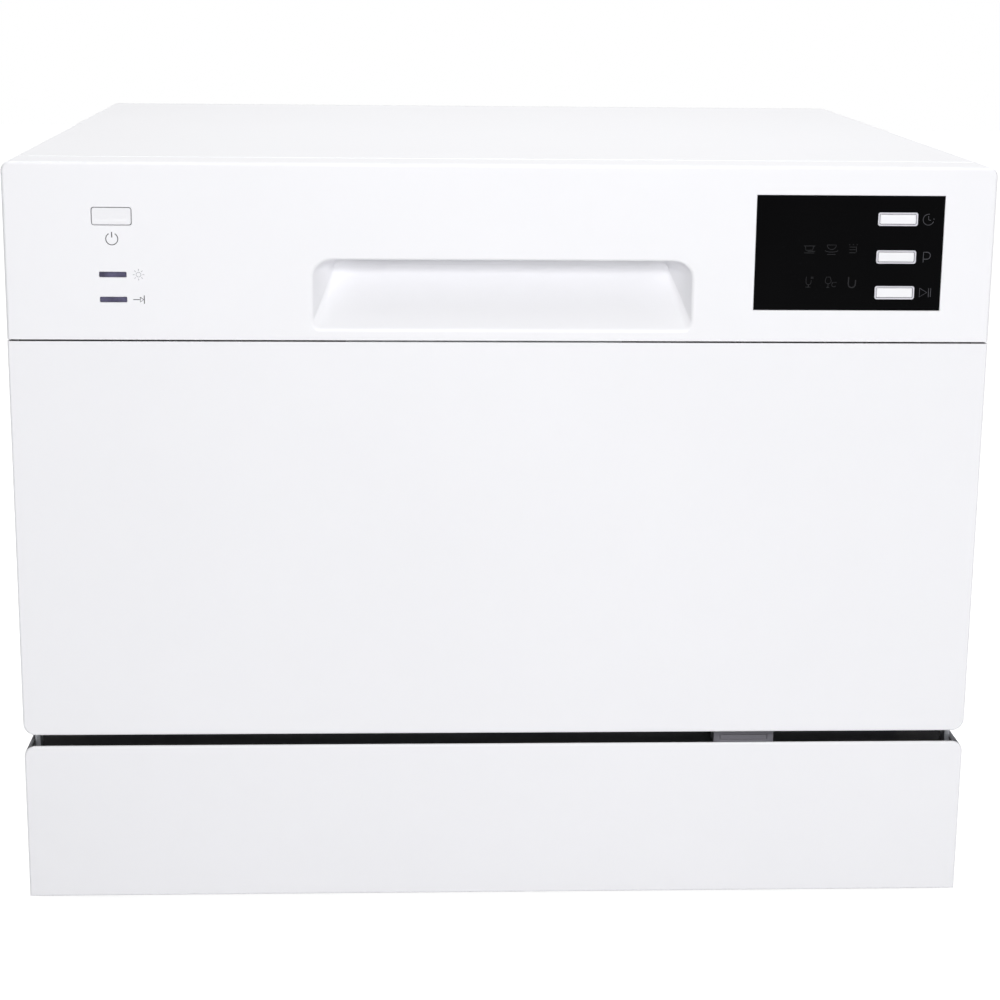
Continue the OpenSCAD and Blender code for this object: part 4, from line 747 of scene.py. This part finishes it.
# The kick plate
# A tray of the same white coated sheet, open at the rear, with round upper corners and a
# narrow return under its lower edge. It clips on the base tray.
FRONT_Y, KICK_TOP = -250, 101.5

kick = block("kick_plate_sheet", (-HALF_W, FRONT_Y, SKIRT_Z), (HALF_W, -214.25, KICK_TOP))
edit(kick)
round_off(at_any(HALF_W, KICK_TOP), 6.5, 8)
round_off(within(y=(FRONT_Y, FRONT_Y)), 1.3, 4)
close()
cut(
    kick,
    block("kick_inside", (-inner_half, FRONT_Y + SHEET, SKIRT_Z + SHEET), (inner_half, -210, 110)),
    block("kick_below", (-inner_half, FRONT_Y + 12, below), (inner_half, -210, 20)),
)
coat(kick, painted_white)
even_shading(kick, 25)
finished(kick, "cabinet", "painted_white", "kick_plate")

# The inner door
# A stainless sheet with a pressed groove all round, held by eight screws. It has a cut-out
# for the dispenser and a slot at the top for the lock.
DOOR_BACK, LINER_FACE, GROOVE = -217, -215, 1.2
LINER_HALF, LINER_LOW, LINER_TOP = 274.5, 108.5, 437.5
LINER_SCREWS = [(s * 267, z) for s in (-1, 1) for z in (142, 232, 322, 412)]

liner = block(
    "inner_door_sheet", (-LINER_HALF, DOOR_BACK, LINER_LOW), (LINER_HALF, LINER_FACE, LINER_TOP)
)
edit(liner)
choose("FACE", within(y=(LINER_FACE, LINER_FACE), facing=(0, 1, 0)))
inset(20)
pull(y=-GROOVE)
round_off(lambda e: within(x=(-256, 256), z=(127, 419))(e) and goes_in(e), 16, 8)
choose("FACE", within(y=(LINER_FACE - GROOVE, LINER_FACE - GROOVE), facing=(0, 1, 0)))
inset(5)
pull(y=GROOVE)
round_off(at_any(LINER_HALF, LINER_TOP), 5, 6)
close()
cut(
    liner,
    block("dispenser_cut", (-88.2, -220, 247.8), (68.2, -210, 338.2)),
    block("lock_cut", (-12, -220, 426), (12, -210, 434)),
)
coat(liner, stainless)
soften(liner, 0.4, 2)
finished(liner, "door", "stainless", "door_liner")
screw_set("inner_door_screw", "door", "liner_screws", LINER_FACE, LINER_SCREWS, 3.5, 0.8, 8)

# Hinge arms, lock and boards
# The arms are zinc-plated steel, riveted inside the door. The lock is a black moulding behind
# the slot, and two green boards with their switches stand behind the panel.
lock_black = moulded("Lock plastic", (40, 41, 44), (30, 31, 34), 0.45, 0.62, 800, 0.03, 30)
board_green = moulded("Coated board", (52, 108, 62), (40, 92, 50), 0.3, 0.45, 500, 0.02, 60)
reworked("hinge_arms", "hinge_arm_pair", 0.35, "zinc_steel", zinc)
reworked("door_lock", "lock_case", 0.5, "lock_black", lock_black)
reworked("control_board", "control_board_pair", 0.2, "board_green", board_green)

# The dispenser
# Pale grey moulding set into the inner door, with a cup for the detergent, a lid on a small
# pivot, a blue-grey latch that frees it and a turning cap over the rinse aid.
dispenser_grey = moulded("Dispenser plastic", (219, 222, 224), (206, 210, 212), 0.28, 0.42, 600, 0.02, 20)
cap_blue = moulded("Rinse cap plastic", (92, 110, 132), (78, 96, 118), 0.3, 0.45, 600, 0.02, 30)
reworked("dispenser_body", "dispenser_housing", 0.7, "dispenser_grey", dispenser_grey)
reworked("dispenser_lid", "dispenser_cover", 0.7, "dispenser_grey", dispenser_grey, steps=3)
reworked("rinse_cap", "rinse_aid_cap", 0.6, "cap_blue", cap_blue, steps=3)
reworked("dispenser_latch", "dispenser_catch", 0.4, "cap_blue", cap_blue)

# The door's lower sheet
# White coated steel, folded back 33 mm on three sides, with round lower corners and a slot on
# each side for the hinge arm.
DOOR_LOW, SHEET_TOP = 108, 339

door = block("door_sheet", (-HALF_W, FRONT_Y, DOOR_LOW), (HALF_W, DOOR_BACK, SHEET_TOP))
edit(door)
round_off(at_any(HALF_W, DOOR_LOW), 7, 8)
round_off(lambda e: (
    within(y=(FRONT_Y, FRONT_Y))(e) and not within(z=(SHEET_TOP, SHEET_TOP))(e)
), 1.3, 4)
round_off(within(y=(FRONT_Y, FRONT_Y), z=(SHEET_TOP, SHEET_TOP)), 0.5, 3)
close()
door_inside = block(
    "door_inside", (-inner_half, FRONT_Y + SHEET, DOOR_LOW + SHEET), (inner_half, -210, 345)
)
edit(door_inside)
round_off(at_any(inner_half, DOOR_LOW + SHEET), 6, 8)
close()
cut(
    door, door_inside,
    block("hinge_slot", (255, FRONT_Y + SHEET, 100), (inner_half, -210, 117)),
    block("hinge_slot", (-inner_half, FRONT_Y + SHEET, 100), (-255, -210, 117)),
)
coat(door, painted_white)
even_shading(door, 25)
finished(door, "door", "painted_white", "door_outer_panel")

# The control panel
# One glossy white moulding that is the upper part of the door. Its wall dips into a hollow
# for the hand, with a slope below, drafted sides and a lip above that the fingers pull on.
FACE_Y, PANEL_LOW = -249.95, 340
GRIP_HALF, GRIP_LOW, GRIP_HIGH, GRIP_BACK = 106, 346, 385, -226
GRIP_RISE, GRIP_CORNER, GRIP_DRAFT = 380, 10, 12
WINDOW_X, WINDOW_HALF, WINDOW_LOW, WINDOW_HIGH = 193.3, 52.6, 358, 422
BUTTON_X, BUTTON_Z = 220.0, {"delay_button": 409.1, "program_button": 388, "start_button": 367.9}
POWER_X, POWER_Z = -215.7, 408.4
LENS_Z = (376.3, 362.4)


def slot_tool(x, z, width, height, depth=6.0, corner=0.5):
    """A cutter for a rectangular opening in the panel's face."""
    low, high = (x - width / 2, -252, z - height / 2), (x + width / 2, FRONT_Y + depth, z + height / 2)
    tool = block("slot", low, high)
    edit(tool)
    round_off(goes_in, corner, 3)
    close()
    return tool


def grip_tool(name, grow, front, back):
    """The hollow's form, or its outer case when it is grown: drafted, sloped and rounded."""
    half, top = GRIP_HALF + grow, GRIP_HIGH + grow
    slope = (GRIP_RISE - GRIP_LOW) / (GRIP_BACK - FACE_Y)
    draft = GRIP_DRAFT / (GRIP_BACK - FACE_Y)
    low_front = GRIP_LOW - grow * 1.4 + slope * (front - FACE_Y)
    low_back = GRIP_LOW - grow * 1.4 + slope * (back - FACE_Y)
    tool = block(name, (-half, front, low_front), (half, back, top))
    edit(tool)
    choose("VERT", within(y=(back, back)))
    stretch(((half - draft * (back - FACE_Y)) / half, 1, 1), (0, 0, 0))
    choose("VERT", within(y=(front, front)))
    stretch(((half - draft * (front - FACE_Y)) / half, 1, 1), (0, 0, 0))
    choose("VERT", lambda v: within(y=(back, back))(v) and v.co.z < (low_front + 1) * MM)
    shift(z=low_back - low_front)
    round_off(lambda e: goes_in(e) and within(z=(top, top))(e), GRIP_CORNER, 8)
    round_off(lambda e: goes_in(e) and min(v.co.z for v in e.verts) < (low_front + 1) * MM, 3.5, 5)
    round_off(lambda e: within(y=(back, back))(e) and e.calc_face_angle(0) > 0.5, 3, 5)
    close()
    return tool


panel_white = moulded("White panel plastic", (242, 242, 245), (240, 240, 243), 0.38, 0.46, 500, 0.008, 6, 0.5)
panel = block("control_panel_moulding", (-HALF_W, FACE_Y, PANEL_LOW), (HALF_W, DOOR_BACK, TOP_Z))
edit(panel)
round_off(at_any(HALF_W, TOP_Z), 5, 8)
round_off(lambda e: (
    within(y=(FACE_Y, FACE_Y))(e) and not within(z=(PANEL_LOW, PANEL_LOW))(e)
), 1.8, 5)
round_off(within(y=(FACE_Y, FACE_Y), z=(PANEL_LOW, PANEL_LOW)), 0.5, 3)
choose("FACE", within(y=(DOOR_BACK, DOOR_BACK), facing=(0, 1, 0)))
inset(2.5)
pull(y=FRONT_Y + 3 - DOOR_BACK)
close()
case = grip_tool("grip_case", 2, -248.5, -224)
hook_case = block("hook_case", (-86, -248.3, 380.3), (86, -224.3, 396))
cut(panel, case, hook_case, how="UNION")
hollow = grip_tool("grip_hollow", 0, -251.5, GRIP_BACK)
hook = block("hook_space", (-84, -246, 379.7), (84, -226.3, 394))
edit(hook)
round_off(lambda e: within(z=(394, 394))(e), 3, 3)
close()
cut(panel, hook, hollow)
cut(
    panel,
    block("window_pocket", (WINDOW_X - WINDOW_HALF - 0.2, -252, WINDOW_LOW - 0.2),
          (WINDOW_X + WINDOW_HALF + 0.2, -248, WINDOW_HIGH + 0.2)),
    *[slot_tool(BUTTON_X, z, 21, 6) for z in BUTTON_Z.values()],
    slot_tool(POWER_X, POWER_Z, 22.1, 10, corner=1.4),
    *[slot_tool(POWER_X, z, 14.9, 3) for z in LENS_Z],
)
edit(panel)
bpy.ops.mesh.select_all(action="SELECT")
bpy.ops.mesh.remove_doubles(threshold=0.00001)
bpy.ops.mesh.dissolve_limited(angle_limit=math.radians(0.5))
# Corners left close together by the cut would tear the rim's rounding
choose("VERT", within(x=(-107, 107), y=(FACE_Y, -225), z=(345, 386)))
bpy.ops.mesh.remove_doubles(threshold=0.0002)


def grip_rim(e):
    return within(x=(-107.5, 107.5), y=(FACE_Y, FACE_Y), z=(345, 386))(e) and e.calc_face_angle(0) > 0.2


round_off(grip_rim, 1.4, 4)
round_off(lambda e: (
    within(y=(FACE_Y, FACE_Y))(e) and e.calc_face_angle(0) > 1.2
    and not within(x=(-108, 108))(e) and within(x=(-240, 247), z=(355, 424))(e)
), 0.3, 2)
close()
coat(panel, panel_white)
even_shading(panel, 28)
finished(panel, "door", "panel_white", "control_panel")

# The display window
# A sheet of black glossy plastic let into the panel flush with its face, with three openings
# for the buttons' frames.
FRAME_W, FRAME_H, CAP_W, CAP_H = 22.5, 7.5, 20.2, 5.3

window_black = moulded("Black display plastic", (8, 8, 9), (6, 6, 7), 0.12, 0.2, 400, 0.002, 8, 0.02)
window = block(
    "display_window_sheet", (WINDOW_X - WINDOW_HALF, FACE_Y + 0.05, WINDOW_LOW),
    (WINDOW_X + WINDOW_HALF, -248, WINDOW_HIGH),
)
cut(window, *[
    slot_tool(BUTTON_X, z, FRAME_W + 0.2, FRAME_H + 0.2, corner=1.3) for z in BUTTON_Z.values()
])
coat(window, window_black)
soften(window, 0.15, 2)
finished(window, "door", "window_black", "display_window")

# The buttons
# White caps with two stems that work on the board's switches. The three small ones have a
# white frame set in the window, the power button works in a plain slot of the panel.
button_white = moulded("White button plastic", (243, 243, 246), (240, 240, 243), 0.18, 0.26, 500, 0.006, 40)
frame_white = moulded("White frame plastic", (216, 215, 222), (208, 207, 215), 0.2, 0.3, 500, 0.006, 40)


def push_button(name, z, x, width, height, front, corner=0.6):
    """A cap with a softly crowned face, hollow behind, and its two stems."""
    cap = block(name, (x - width / 2, front, z - height / 2), (x + width / 2, -247.5, z + height / 2))
    edit(cap)
    round_off(goes_in, corner, 4)
    round_off(within(y=(front, front)), 0.4, 3)
    choose("FACE", within(y=(-247.5, -247.5), facing=(0, 1, 0)))
    inset(0.8)
    inset(0.01, -0.8)
    close()
    cap = welded(cap, *[
        post("stem", (x + side * (width / 2 - 3.2), -249, z), 1.6, 9.8, "y", 20) for side in (-1, 1)
    ])
    even_shading(cap, 35)
    coat(cap, button_white)
    return cap


ring = None
for name, z in BUTTON_Z.items():
    if ring is None:
        ring = block(name + "_frame", (BUTTON_X - FRAME_W / 2, -249.98, z - FRAME_H / 2),
                     (BUTTON_X + FRAME_W / 2, -248, z + FRAME_H / 2))
        edit(ring)
        round_off(goes_in, 1.3, 5)
        close()
        cut(ring, slot_tool(BUTTON_X, z, CAP_W + 0.5, CAP_H + 0.5, corner=0.7))
        soften(ring, 0.25, 2)
        coat(ring, frame_white)
        cap = push_button(name + "_cap", z, BUTTON_X, CAP_W, CAP_H, -249.98)
        top_z = z
        frame_ring, button_cap = ring, cap
    else:
        frame_ring = moved_copy(ring, name + "_frame", (0, 0, z - top_z))
        button_cap = moved_copy(cap, name + "_cap", (0, 0, z - top_z))
    finished(frame_ring, "door", "button_white")
    finished(button_cap, name, "button_white", name)
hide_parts("button_frames")

power = push_button("power_button_cap", POWER_Z, POWER_X, 21.4, 9.3, -249.98, 1.2)
dish = post("power_dish", (POWER_X - 9, -255.78, POWER_Z - 1.2), 6, 18, "x", 64)
cut(power, dish)
even_shading(power, 20)
finished(power, "power_button", "button_white", "power_button")

# The indicator lenses
# Two violet-grey clear bars that press into slots of the panel, over their lamps.
lens_violet = moulded("Violet lens plastic", (92, 89, 118), (60, 57, 80), 0.16, 0.26, 300, 0.004, 160, 0.3)
lens = block(
    "indicator_lens_upper", (POWER_X - 7.35, -249.98, LENS_Z[0] - 1.4),
    (POWER_X + 7.35, -246, LENS_Z[0] + 1.4),
)
soften(lens, 0.2, 2)
coat(lens, lens_violet)
lower_lens = moved_copy(lens, "indicator_lens_lower", (0, 0, LENS_Z[1] - LENS_Z[0]))
for piece in (lens, lower_lens):
    finished(piece, "door", "lens_violet")
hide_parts("indicator_lenses")

# The printed symbols
# Thin pad-printed ink: the power, rinse aid and tap symbols by the left column, the clock,
# the letter P and the play and pause signs by the buttons, and six dim programme signs.
ink_dark = moulded("Dark ink", (56, 55, 60), (48, 48, 52), 0.5, 0.62, 900, 0.004, 90)
ink_pale = moulded("Pale ink", (176, 176, 182), (164, 164, 170), 0.5, 0.62, 900, 0.004, 90)
ink_grey = moulded("Grey ink", (74, 74, 78), (66, 66, 70), 0.5, 0.62, 900, 0.004, 90, 0.1)
ink_dim = moulded("Dim ink", (36, 36, 38), (30, 30, 32), 0.5, 0.62, 900, 0.004, 90, 0.1)


def arc(x, z, radius, start=0, end=360, squash=1.0):
    """Points along an arc, in degrees from +X towards +Z."""
    steps = max(4, int(abs(end - start) / 15))
    return [
        (x + radius * math.cos(math.radians(start + (end - start) * n / steps)),
         z + squash * radius * math.sin(math.radians(start + (end - start) * n / steps)))
        for n in range(steps + 1)
    ]


def rods(name, radius, runs):
    """Round rods along paths in millimetres, as one mesh. A run is its path and its ending."""
    curve = bpy.data.curves.new(name, "CURVE")
    curve.dimensions = "3D"
    curve.bevel_depth = radius * MM
    curve.bevel_resolution = 1
    curve.use_fill_caps = True
    for path, ending in runs:
        spline = curve.splines.new("POLY")
        spline.points.add(len(path) - 1)
        for point, place in zip(spline.points, path):
            point.co = [c * MM for c in place] + [1]
        if ending == "domed":
            spline.points[-1].radius = 0.45
        spline.use_cyclic_u = ending == "closed"
    rod = bpy.data.objects.new(name, curve)
    bpy.context.collection.objects.link(rod)
    take(rod)
    bpy.ops.object.convert(target="MESH")
    rod = bpy.context.object
    rod.data.name = name
    return rod


def printed(name, ink, width, *lines, bed=FACE_Y):
    """Lines of ink on the panel's face, as one flat mesh."""
    sign = rods(name, width / 2, [([(x, bed, z) for x, z in line], "open") for line in lines])
    edit(sign)
    bpy.ops.mesh.select_all(action="SELECT")
    stretch((1, 0.06 / width, 1), (0, bed, 0))
    close()
    coat(sign, ink)
    finished(sign, "door", "lens_violet")


printed("power_sign", ink_dark, 0.56, arc(-215.7, 396, 3.3, 120, 420), [(-215.7, 396.8), (-215.7, 399.8)])
printed(
    "rinse_aid_sign", ink_pale, 0.36, arc(-201.6, LENS_Z[0], 1.3),
    *[[(-201.6 + r * math.cos(a), LENS_Z[0] + r * math.sin(a)) for r in (2.1, 3.2)]
      for a in [math.radians(45 * n) for n in range(8)]],
)
printed(
    "tap_sign", ink_dark, 0.5, [(-204.9, 362.45), (-201.3, 362.45)],
    [(-201, 363.85), (-199.2, 362.45), (-201, 361.05), (-201, 363.85)], [(-198.8, 364.75), (-198.8, 360.15)],
)
WINDOW_Y = FACE_Y + 0.05
printed(
    "delay_sign", ink_grey, 0.42, arc(237.1, 409, 3.05, 80, 340), arc(237.1, 409, 3.05, 0, 12),
    [(237.1, 411), (237.1, 408.9), (238.4, 408.6)], bed=WINDOW_Y,
)
printed(
    "programme_sign", ink_grey, 0.5,
    [(235.3, 385.1), (235.3, 390.8), (237.3, 390.8)] + arc(237.3, 388.85, 1.95, 90, -90) + [(235.3, 386.9)],
    bed=WINDOW_Y,
)
printed(
    "start_sign", ink_grey, 0.42, [(234.2, 370.6), (234.2, 365.6), (238.3, 368.1), (234.2, 370.6)],
    [(239.3, 370.6), (239.3, 365.6)], [(240.5, 370.6), (240.5, 365.6)], bed=WINDOW_Y,
)
# Above a pot with dishes, a cup on a plate and stacked dishes, below a glass with a spark, a
# glass with a cup and an open ring
MARKS = {
    "pot": (0.45, [(167.7, 394), (174.1, 394)], [(168.5, 394), (168.9, 391.6), (172.5, 391.6), (173.4, 394)],
            [(169.9, 391), (174.1, 391)], [(168, 390.1), (173.6, 390.1)]),
    "cup": (0.45, arc(183.35, 394.6, 2.55, 180, 360) + [(180.8, 394.6)],
            arc(183.35, 391.6, 3.6, 180, 360, 0.27), [(181, 389.3), (185.7, 389.3)]),
    "stack": (0.45, *[[(x, 394.8), (x + 0.7, 394.8)] for x in (193.1, 195.2, 197.3)],
              *[[(193.4, z), (196.9, z)] for z in (393.5, 392, 390.3)], [(197.3, 393.8), (197.3, 390.6)]),
    "glass": (0.42, [(169.8, 376.7), (169.7, 373.6)] + arc(171.1, 373.6, 1.4, 180, 360) + [(172.6, 374.8)],
              [(171.1, 372.2), (171.1, 370.9)], [(169.5, 370.9), (172.2, 370.9)],
              [(172.3, 376.5), (173.8, 376.5)], [(172.3, 375.9), (173.8, 375.9)]),
    "glass_and_cup": (0.42, [(183.3, 376.6), (181.1, 376.6), (180.5, 374.5)]
                      + arc(182.2, 374.5, 1.7, 180, 360) + [(183.3, 376.6)],
                      [(182.2, 372.8), (182.2, 370.9)], [(181.2, 370.8), (183, 370.8)],
                      [(187, 373.6), (184.2, 373.6)] + arc(185.5, 372.3, 1.2, 130, 330)),
    "ring": (0.85, [(193.7, 376.6), (193.6, 372.8)] + arc(195.6, 372.7, 2, 180, 360) + [(197.7, 375)]),
}
for name, (width, *lines) in MARKS.items():
    printed(name + "_sign", ink_dim, width, *lines, bed=WINDOW_Y)

# The wire basket
# Steel wires welded crosswise and dipped in grey plastic. Its floor wires bend up into the
# front, the rear and the sides, two loops of wire close it, and tines hold the plates.
WIRE, RIM_WIRE, RIM_Z, FLOOR_Z, CROSS_Z = 1.25, 2.25, 243, 162, 160.1
TINE_ROWS = (-41.5, 0.5, 84.5, 126.5)
LONG_X = [32 * n for n in range(-7, 8)]
CROSS_Y = [-159.5 + 41.25 * n for n in range(9)]


def bent(points, radius, closed=False, steps=5):
    """A wire's path through corner points in millimetres, with each corner bent to a radius."""
    path, count = [], len(points)
    for n, corner in enumerate(points):
        corner = Vector(corner)
        if not closed and n in (0, count - 1):
            path.append(corner)
            continue
        before, after = Vector(points[n - 1]) - corner, Vector(points[(n + 1) % count]) - corner
        before.normalize()
        after.normalize()
        half = before.angle(after) / 2
        reach = radius / math.tan(half)
        middle = corner + (before + after).normalized() * radius / math.sin(half)
        start, end = corner + before * reach - middle, corner + after * reach - middle
        for step in range(steps + 1):
            path.append(middle + start.slerp(end, step / steps))
    return path


def wires(name, runs):
    """Runs of round wire as one mesh. Each run has its path, its radius and how it ends."""
    piece = welded(*[
        rods(name, radius, [(path, ending) for path, wire, ending in runs if wire == radius])
        for radius in sorted({wire for path, wire, ending in runs})
    ])
    piece.name = piece.data.name = name
    even_shading(piece, 50)
    return piece


SHORT_BEND, RIM_BEND = 7, 9
wire_grey = moulded("Grey wire coating", (196, 200, 204), (180, 185, 190), 0.28, 0.44, 1200, 0.03, 20)
runs = []
for n, x in enumerate(LONG_X):
    if n % 2 == 0:
        corners = [(x, -202.5, RIM_Z), (x, -159.5, FLOOR_Z), (x, 170.5, FLOOR_Z), (x, 188.5, RIM_Z)]
        runs.append((bent(corners, SHORT_BEND), WIRE, "open"))
    else:
        runs.append(([(x, -160.7, FLOOR_Z), (x, 171.7, FLOOR_Z)], WIRE, "open"))
for y in CROSS_Y:
    corners = [(-230, y, RIM_Z), (-224, y, CROSS_Z), (224, y, CROSS_Z), (230, y, RIM_Z)]
    runs.append((bent(corners, SHORT_BEND), WIRE, "open"))
for half, low, high, z, wire in (
    (227, -181, 179.5, 202.5, WIRE), (230, -202.5, 188.5, RIM_Z, RIM_WIRE),
):
    loop = [(-half, low, z), (half, low, z), (half, high, z), (-half, high, z)]
    runs.append((bent(loop, RIM_BEND, closed=True), wire, "closed"))
for y in TINE_ROWS:
    for x in range(-192, 65, 32):
        runs.append(([(x, y, 161.4), (x, y, 229.2), (x, y, 230)], WIRE, "domed"))
basket = wires("wire_basket", runs)
# Wheel hangers with their axles, and the clips that the shelf turns in
hanger = block("hanger", (222.75, -113, 146), (225.75, -87, 172))
edit(hanger)
round_off(lambda e: within(z=(146, 146))(e) and not goes_in(e), 9, 6)
close()
soften(hanger, 0.5)
axle = post("axle", (223.5, -100, 153), 2, 19.8, "x", 24)
edit(axle)
round_off(lambda e: within(x=(243.3, 243.3))(e), 0.6, 2)
close()
hanger = welded(hanger, axle)
hangers = [hanger, moved_copy(hanger, "hanger", (0, 220, 0))]
for right in list(hangers):
    left = moved_copy(right, "hanger", (0, 0, 0))
    edit(left)
    bpy.ops.mesh.select_all(action="SELECT")
    bpy.ops.transform.resize(value=(-1, 1, 1), center_override=(0, 0, 0))
    bpy.ops.mesh.normals_make_consistent(inside=False)
    close()
    hangers.append(left)
clip = block("clip", (-234, -66.5, 239.5), (-223, -60.5, 254.5))
soften(clip, 1.2, 3)
cut(clip, post("rod_bore", (-227, -70, 250.5), 1.58, 14, "y", 24))
clips = [clip, moved_copy(clip, "clip", (0, 120, 0))]
basket = welded(basket, *hangers, *clips)
coat(basket, wire_grey)
finished(basket, "basket", "wire_grey", "basket_frame")

# The basket's wheels
# Four dished wheels of grey plastic that turn on the hangers' axles and roll in the rails.
WHEEL_R, WHEEL_W, WHEEL_X, AXLE_Z = 12, 7, 235.5, 153
wheel_grey = moulded("Wheel plastic", (150, 155, 160), (134, 139, 144), 0.34, 0.5, 700, 0.03, 60)


def dished_wheel(name, y):
    """A wheel with a rounded tread, a dish and a hub on each face, and its bore."""
    wheel = post(name, (WHEEL_X, y, AXLE_Z), WHEEL_R, WHEEL_W, "x", 40)
    edit(wheel)
    for x in (WHEEL_X, WHEEL_X + WHEEL_W):
        round_off(lambda e: within(x=(x, x))(e), 0.7, 3)
        choose("FACE", within(x=(x, x)))
        inset(1.6)
        inset(0.3, -1.6)
        inset(4.6)
        inset(0.2, 1.4)
        inset(1.9)
    choose("FACE", lambda f: abs(f.normal.x) > 0.95 and all(
        math.hypot(v.co.y - y * MM, v.co.z - AXLE_Z * MM) < 3.0 * MM for v in f.verts))
    bpy.ops.mesh.bridge_edge_loops()
    close()
    even_shading(wheel, 35)
    coat(wheel, wheel_grey)
    return wheel


first_wheel = dished_wheel("basket_wheel_front_right", -100)
finished(first_wheel, "wheel_front_right", "wheel_grey", "wheel_front_right")
for node, move in {
    "wheel_rear_right": (0, 220, 0), "wheel_front_left": (-478, 0, 0), "wheel_rear_left": (-478, 220, 0),
}.items():
    finished(moved_copy(first_wheel, "basket_" + node, move), node, "wheel_grey", node)

# The cutlery basket
# A grey moulding with six cells. Narrow slots in its walls and its floor let the water
# through, and it lifts out of the wire basket.
cutlery_grey = moulded("Cutlery basket plastic", (158, 163, 168), (142, 147, 152), 0.34, 0.5, 600, 0.03, 20)
reworked("cutlery_basket", "cutlery_basket_moulding", 0.3, "cutlery_grey", cutlery_grey, steps=1)

# The cup shelf
# Coated wire like the basket's. Its rod turns in the two clips on the left rim, and cups
# stand on its two lengthwise wires.
SHELF_ROD, SHELF_TIP, SHELF_Z = -227, -139, 250.5
SHELF_ARMS = (-93.5, -33.5, -3.5, 26.5, 86.5)
near, *between, far = SHELF_ARMS
shelf_runs = [([(SHELF_ROD, near - 1.2, SHELF_Z), (SHELF_ROD, far + 1.2, SHELF_Z)], 1.5, "open")]
shelf_runs.append((bent([
    (SHELF_ROD, near, SHELF_Z), (SHELF_TIP, near, SHELF_Z),
    (SHELF_TIP, far, SHELF_Z), (SHELF_ROD, far, SHELF_Z),
], SHORT_BEND), WIRE, "open"))
for y in between:
    shelf_runs.append(([(SHELF_ROD, y, SHELF_Z), (SHELF_TIP, y, SHELF_Z)], WIRE, "open"))
for share in (0.35, 0.68):
    x = SHELF_ROD + share * (SHELF_TIP - SHELF_ROD)
    shelf_runs.append(([(x, y, SHELF_Z + 1.9) for y in (near, far)], WIRE, "open"))
shelf = wires("cup_shelf_wires", shelf_runs)
coat(shelf, wire_grey)
finished(shelf, "cup_shelf", "wire_grey", "cup_shelf")

# The counter, the light and the camera
# A pale counter that shows white to the camera and still takes the machine's shadow, soft
# lamps in front and above, and the camera where the photograph was taken.
bpy.ops.object.select_all(action="DESELECT")
bpy.ops.mesh.primitive_plane_add(size=12, location=(0, 0, 0))
counter = bpy.context.object
counter.name = "counter"
counter_white, tree, shader = new_material("Pale counter")
shader.inputs["Base Color"].default_value = (0.52, 0.52, 0.53, 1)
shader.inputs["Roughness"].default_value = 0.6


def in_sight(tree):
    """One on rays from the camera, metal and glass, and nought on rays that give light."""
    path = node_in(tree, "ShaderNodeLightPath").outputs
    return added(tree, added(tree, path["Is Camera Ray"], path["Is Glossy Ray"]), path["Is Transmission Ray"])


shine = ranged(tree, in_sight(tree), 0.0, 1.0, 0.0, 0.88)
glow = node_in(tree, "ShaderNodeEmission", {"Color": (1, 1, 1, 1), "Strength": shine}).outputs[0]
both = node_in(tree, "ShaderNodeAddShader", {0: shader.outputs[0], 1: glow}).outputs[0]
tree.links.new(both, tree.nodes["Material Output"].inputs["Surface"])
coat(counter, counter_white)

world = bpy.data.worlds.new("Room")
bpy.context.scene.world = world
world.use_nodes = True
tree = world.node_tree
tree.nodes.clear()
strength = ranged(tree, in_sight(tree), 0.0, 1.0, 0.13, 1.0)
sky = node_in(tree, "ShaderNodeBackground", {"Color": (1, 1, 1, 1), "Strength": strength}).outputs[0]
out = node_in(tree, "ShaderNodeOutputWorld", {"Surface": sky})

LAMPS = {
    "Front lamp": ((0.12, -2.6, 1.1), (0, 0, 0.25), 0.9, 42.5),
    "Side lamp": ((1.9, -1.7, 0.7), (0, 0, 0.25), 1.0, 4),
    "Top lamp": ((0.1, 0.1, 1.7), (0, 0, 0.2), 1.2, 14.5),
}
for name, (place, aim, size, power) in LAMPS.items():
    light = bpy.data.lights.new(name, "AREA")
    light.size = size
    light.energy = power
    lamp = bpy.data.objects.new(name, light)
    bpy.context.collection.objects.link(lamp)
    lamp.location = place
    lamp.rotation_euler = (Vector(aim) - Vector(place)).to_track_quat("-Z", "Y").to_euler()

YAW, PITCH, ROLL = math.radians(2.825), math.radians(13.619), math.radians(0.635)
lens_data = bpy.data.cameras.new("Camera")
camera = bpy.data.objects.new("Camera", lens_data)
bpy.context.collection.objects.link(camera)
lens_data.lens = 80.45
lens_data.sensor_width = 36
turn = (
    Matrix.Rotation(-YAW, 4, "Z") @ Matrix.Rotation(math.pi / 2 - PITCH, 4, "X")
    @ Matrix.Rotation(ROLL, 4, "Z")
)
camera.matrix_world = Matrix.Translation((-0.0615, -1.4857, 0.548)) @ turn
bpy.context.scene.camera = camera
bpy.context.scene.view_settings.view_transform = "Standard"
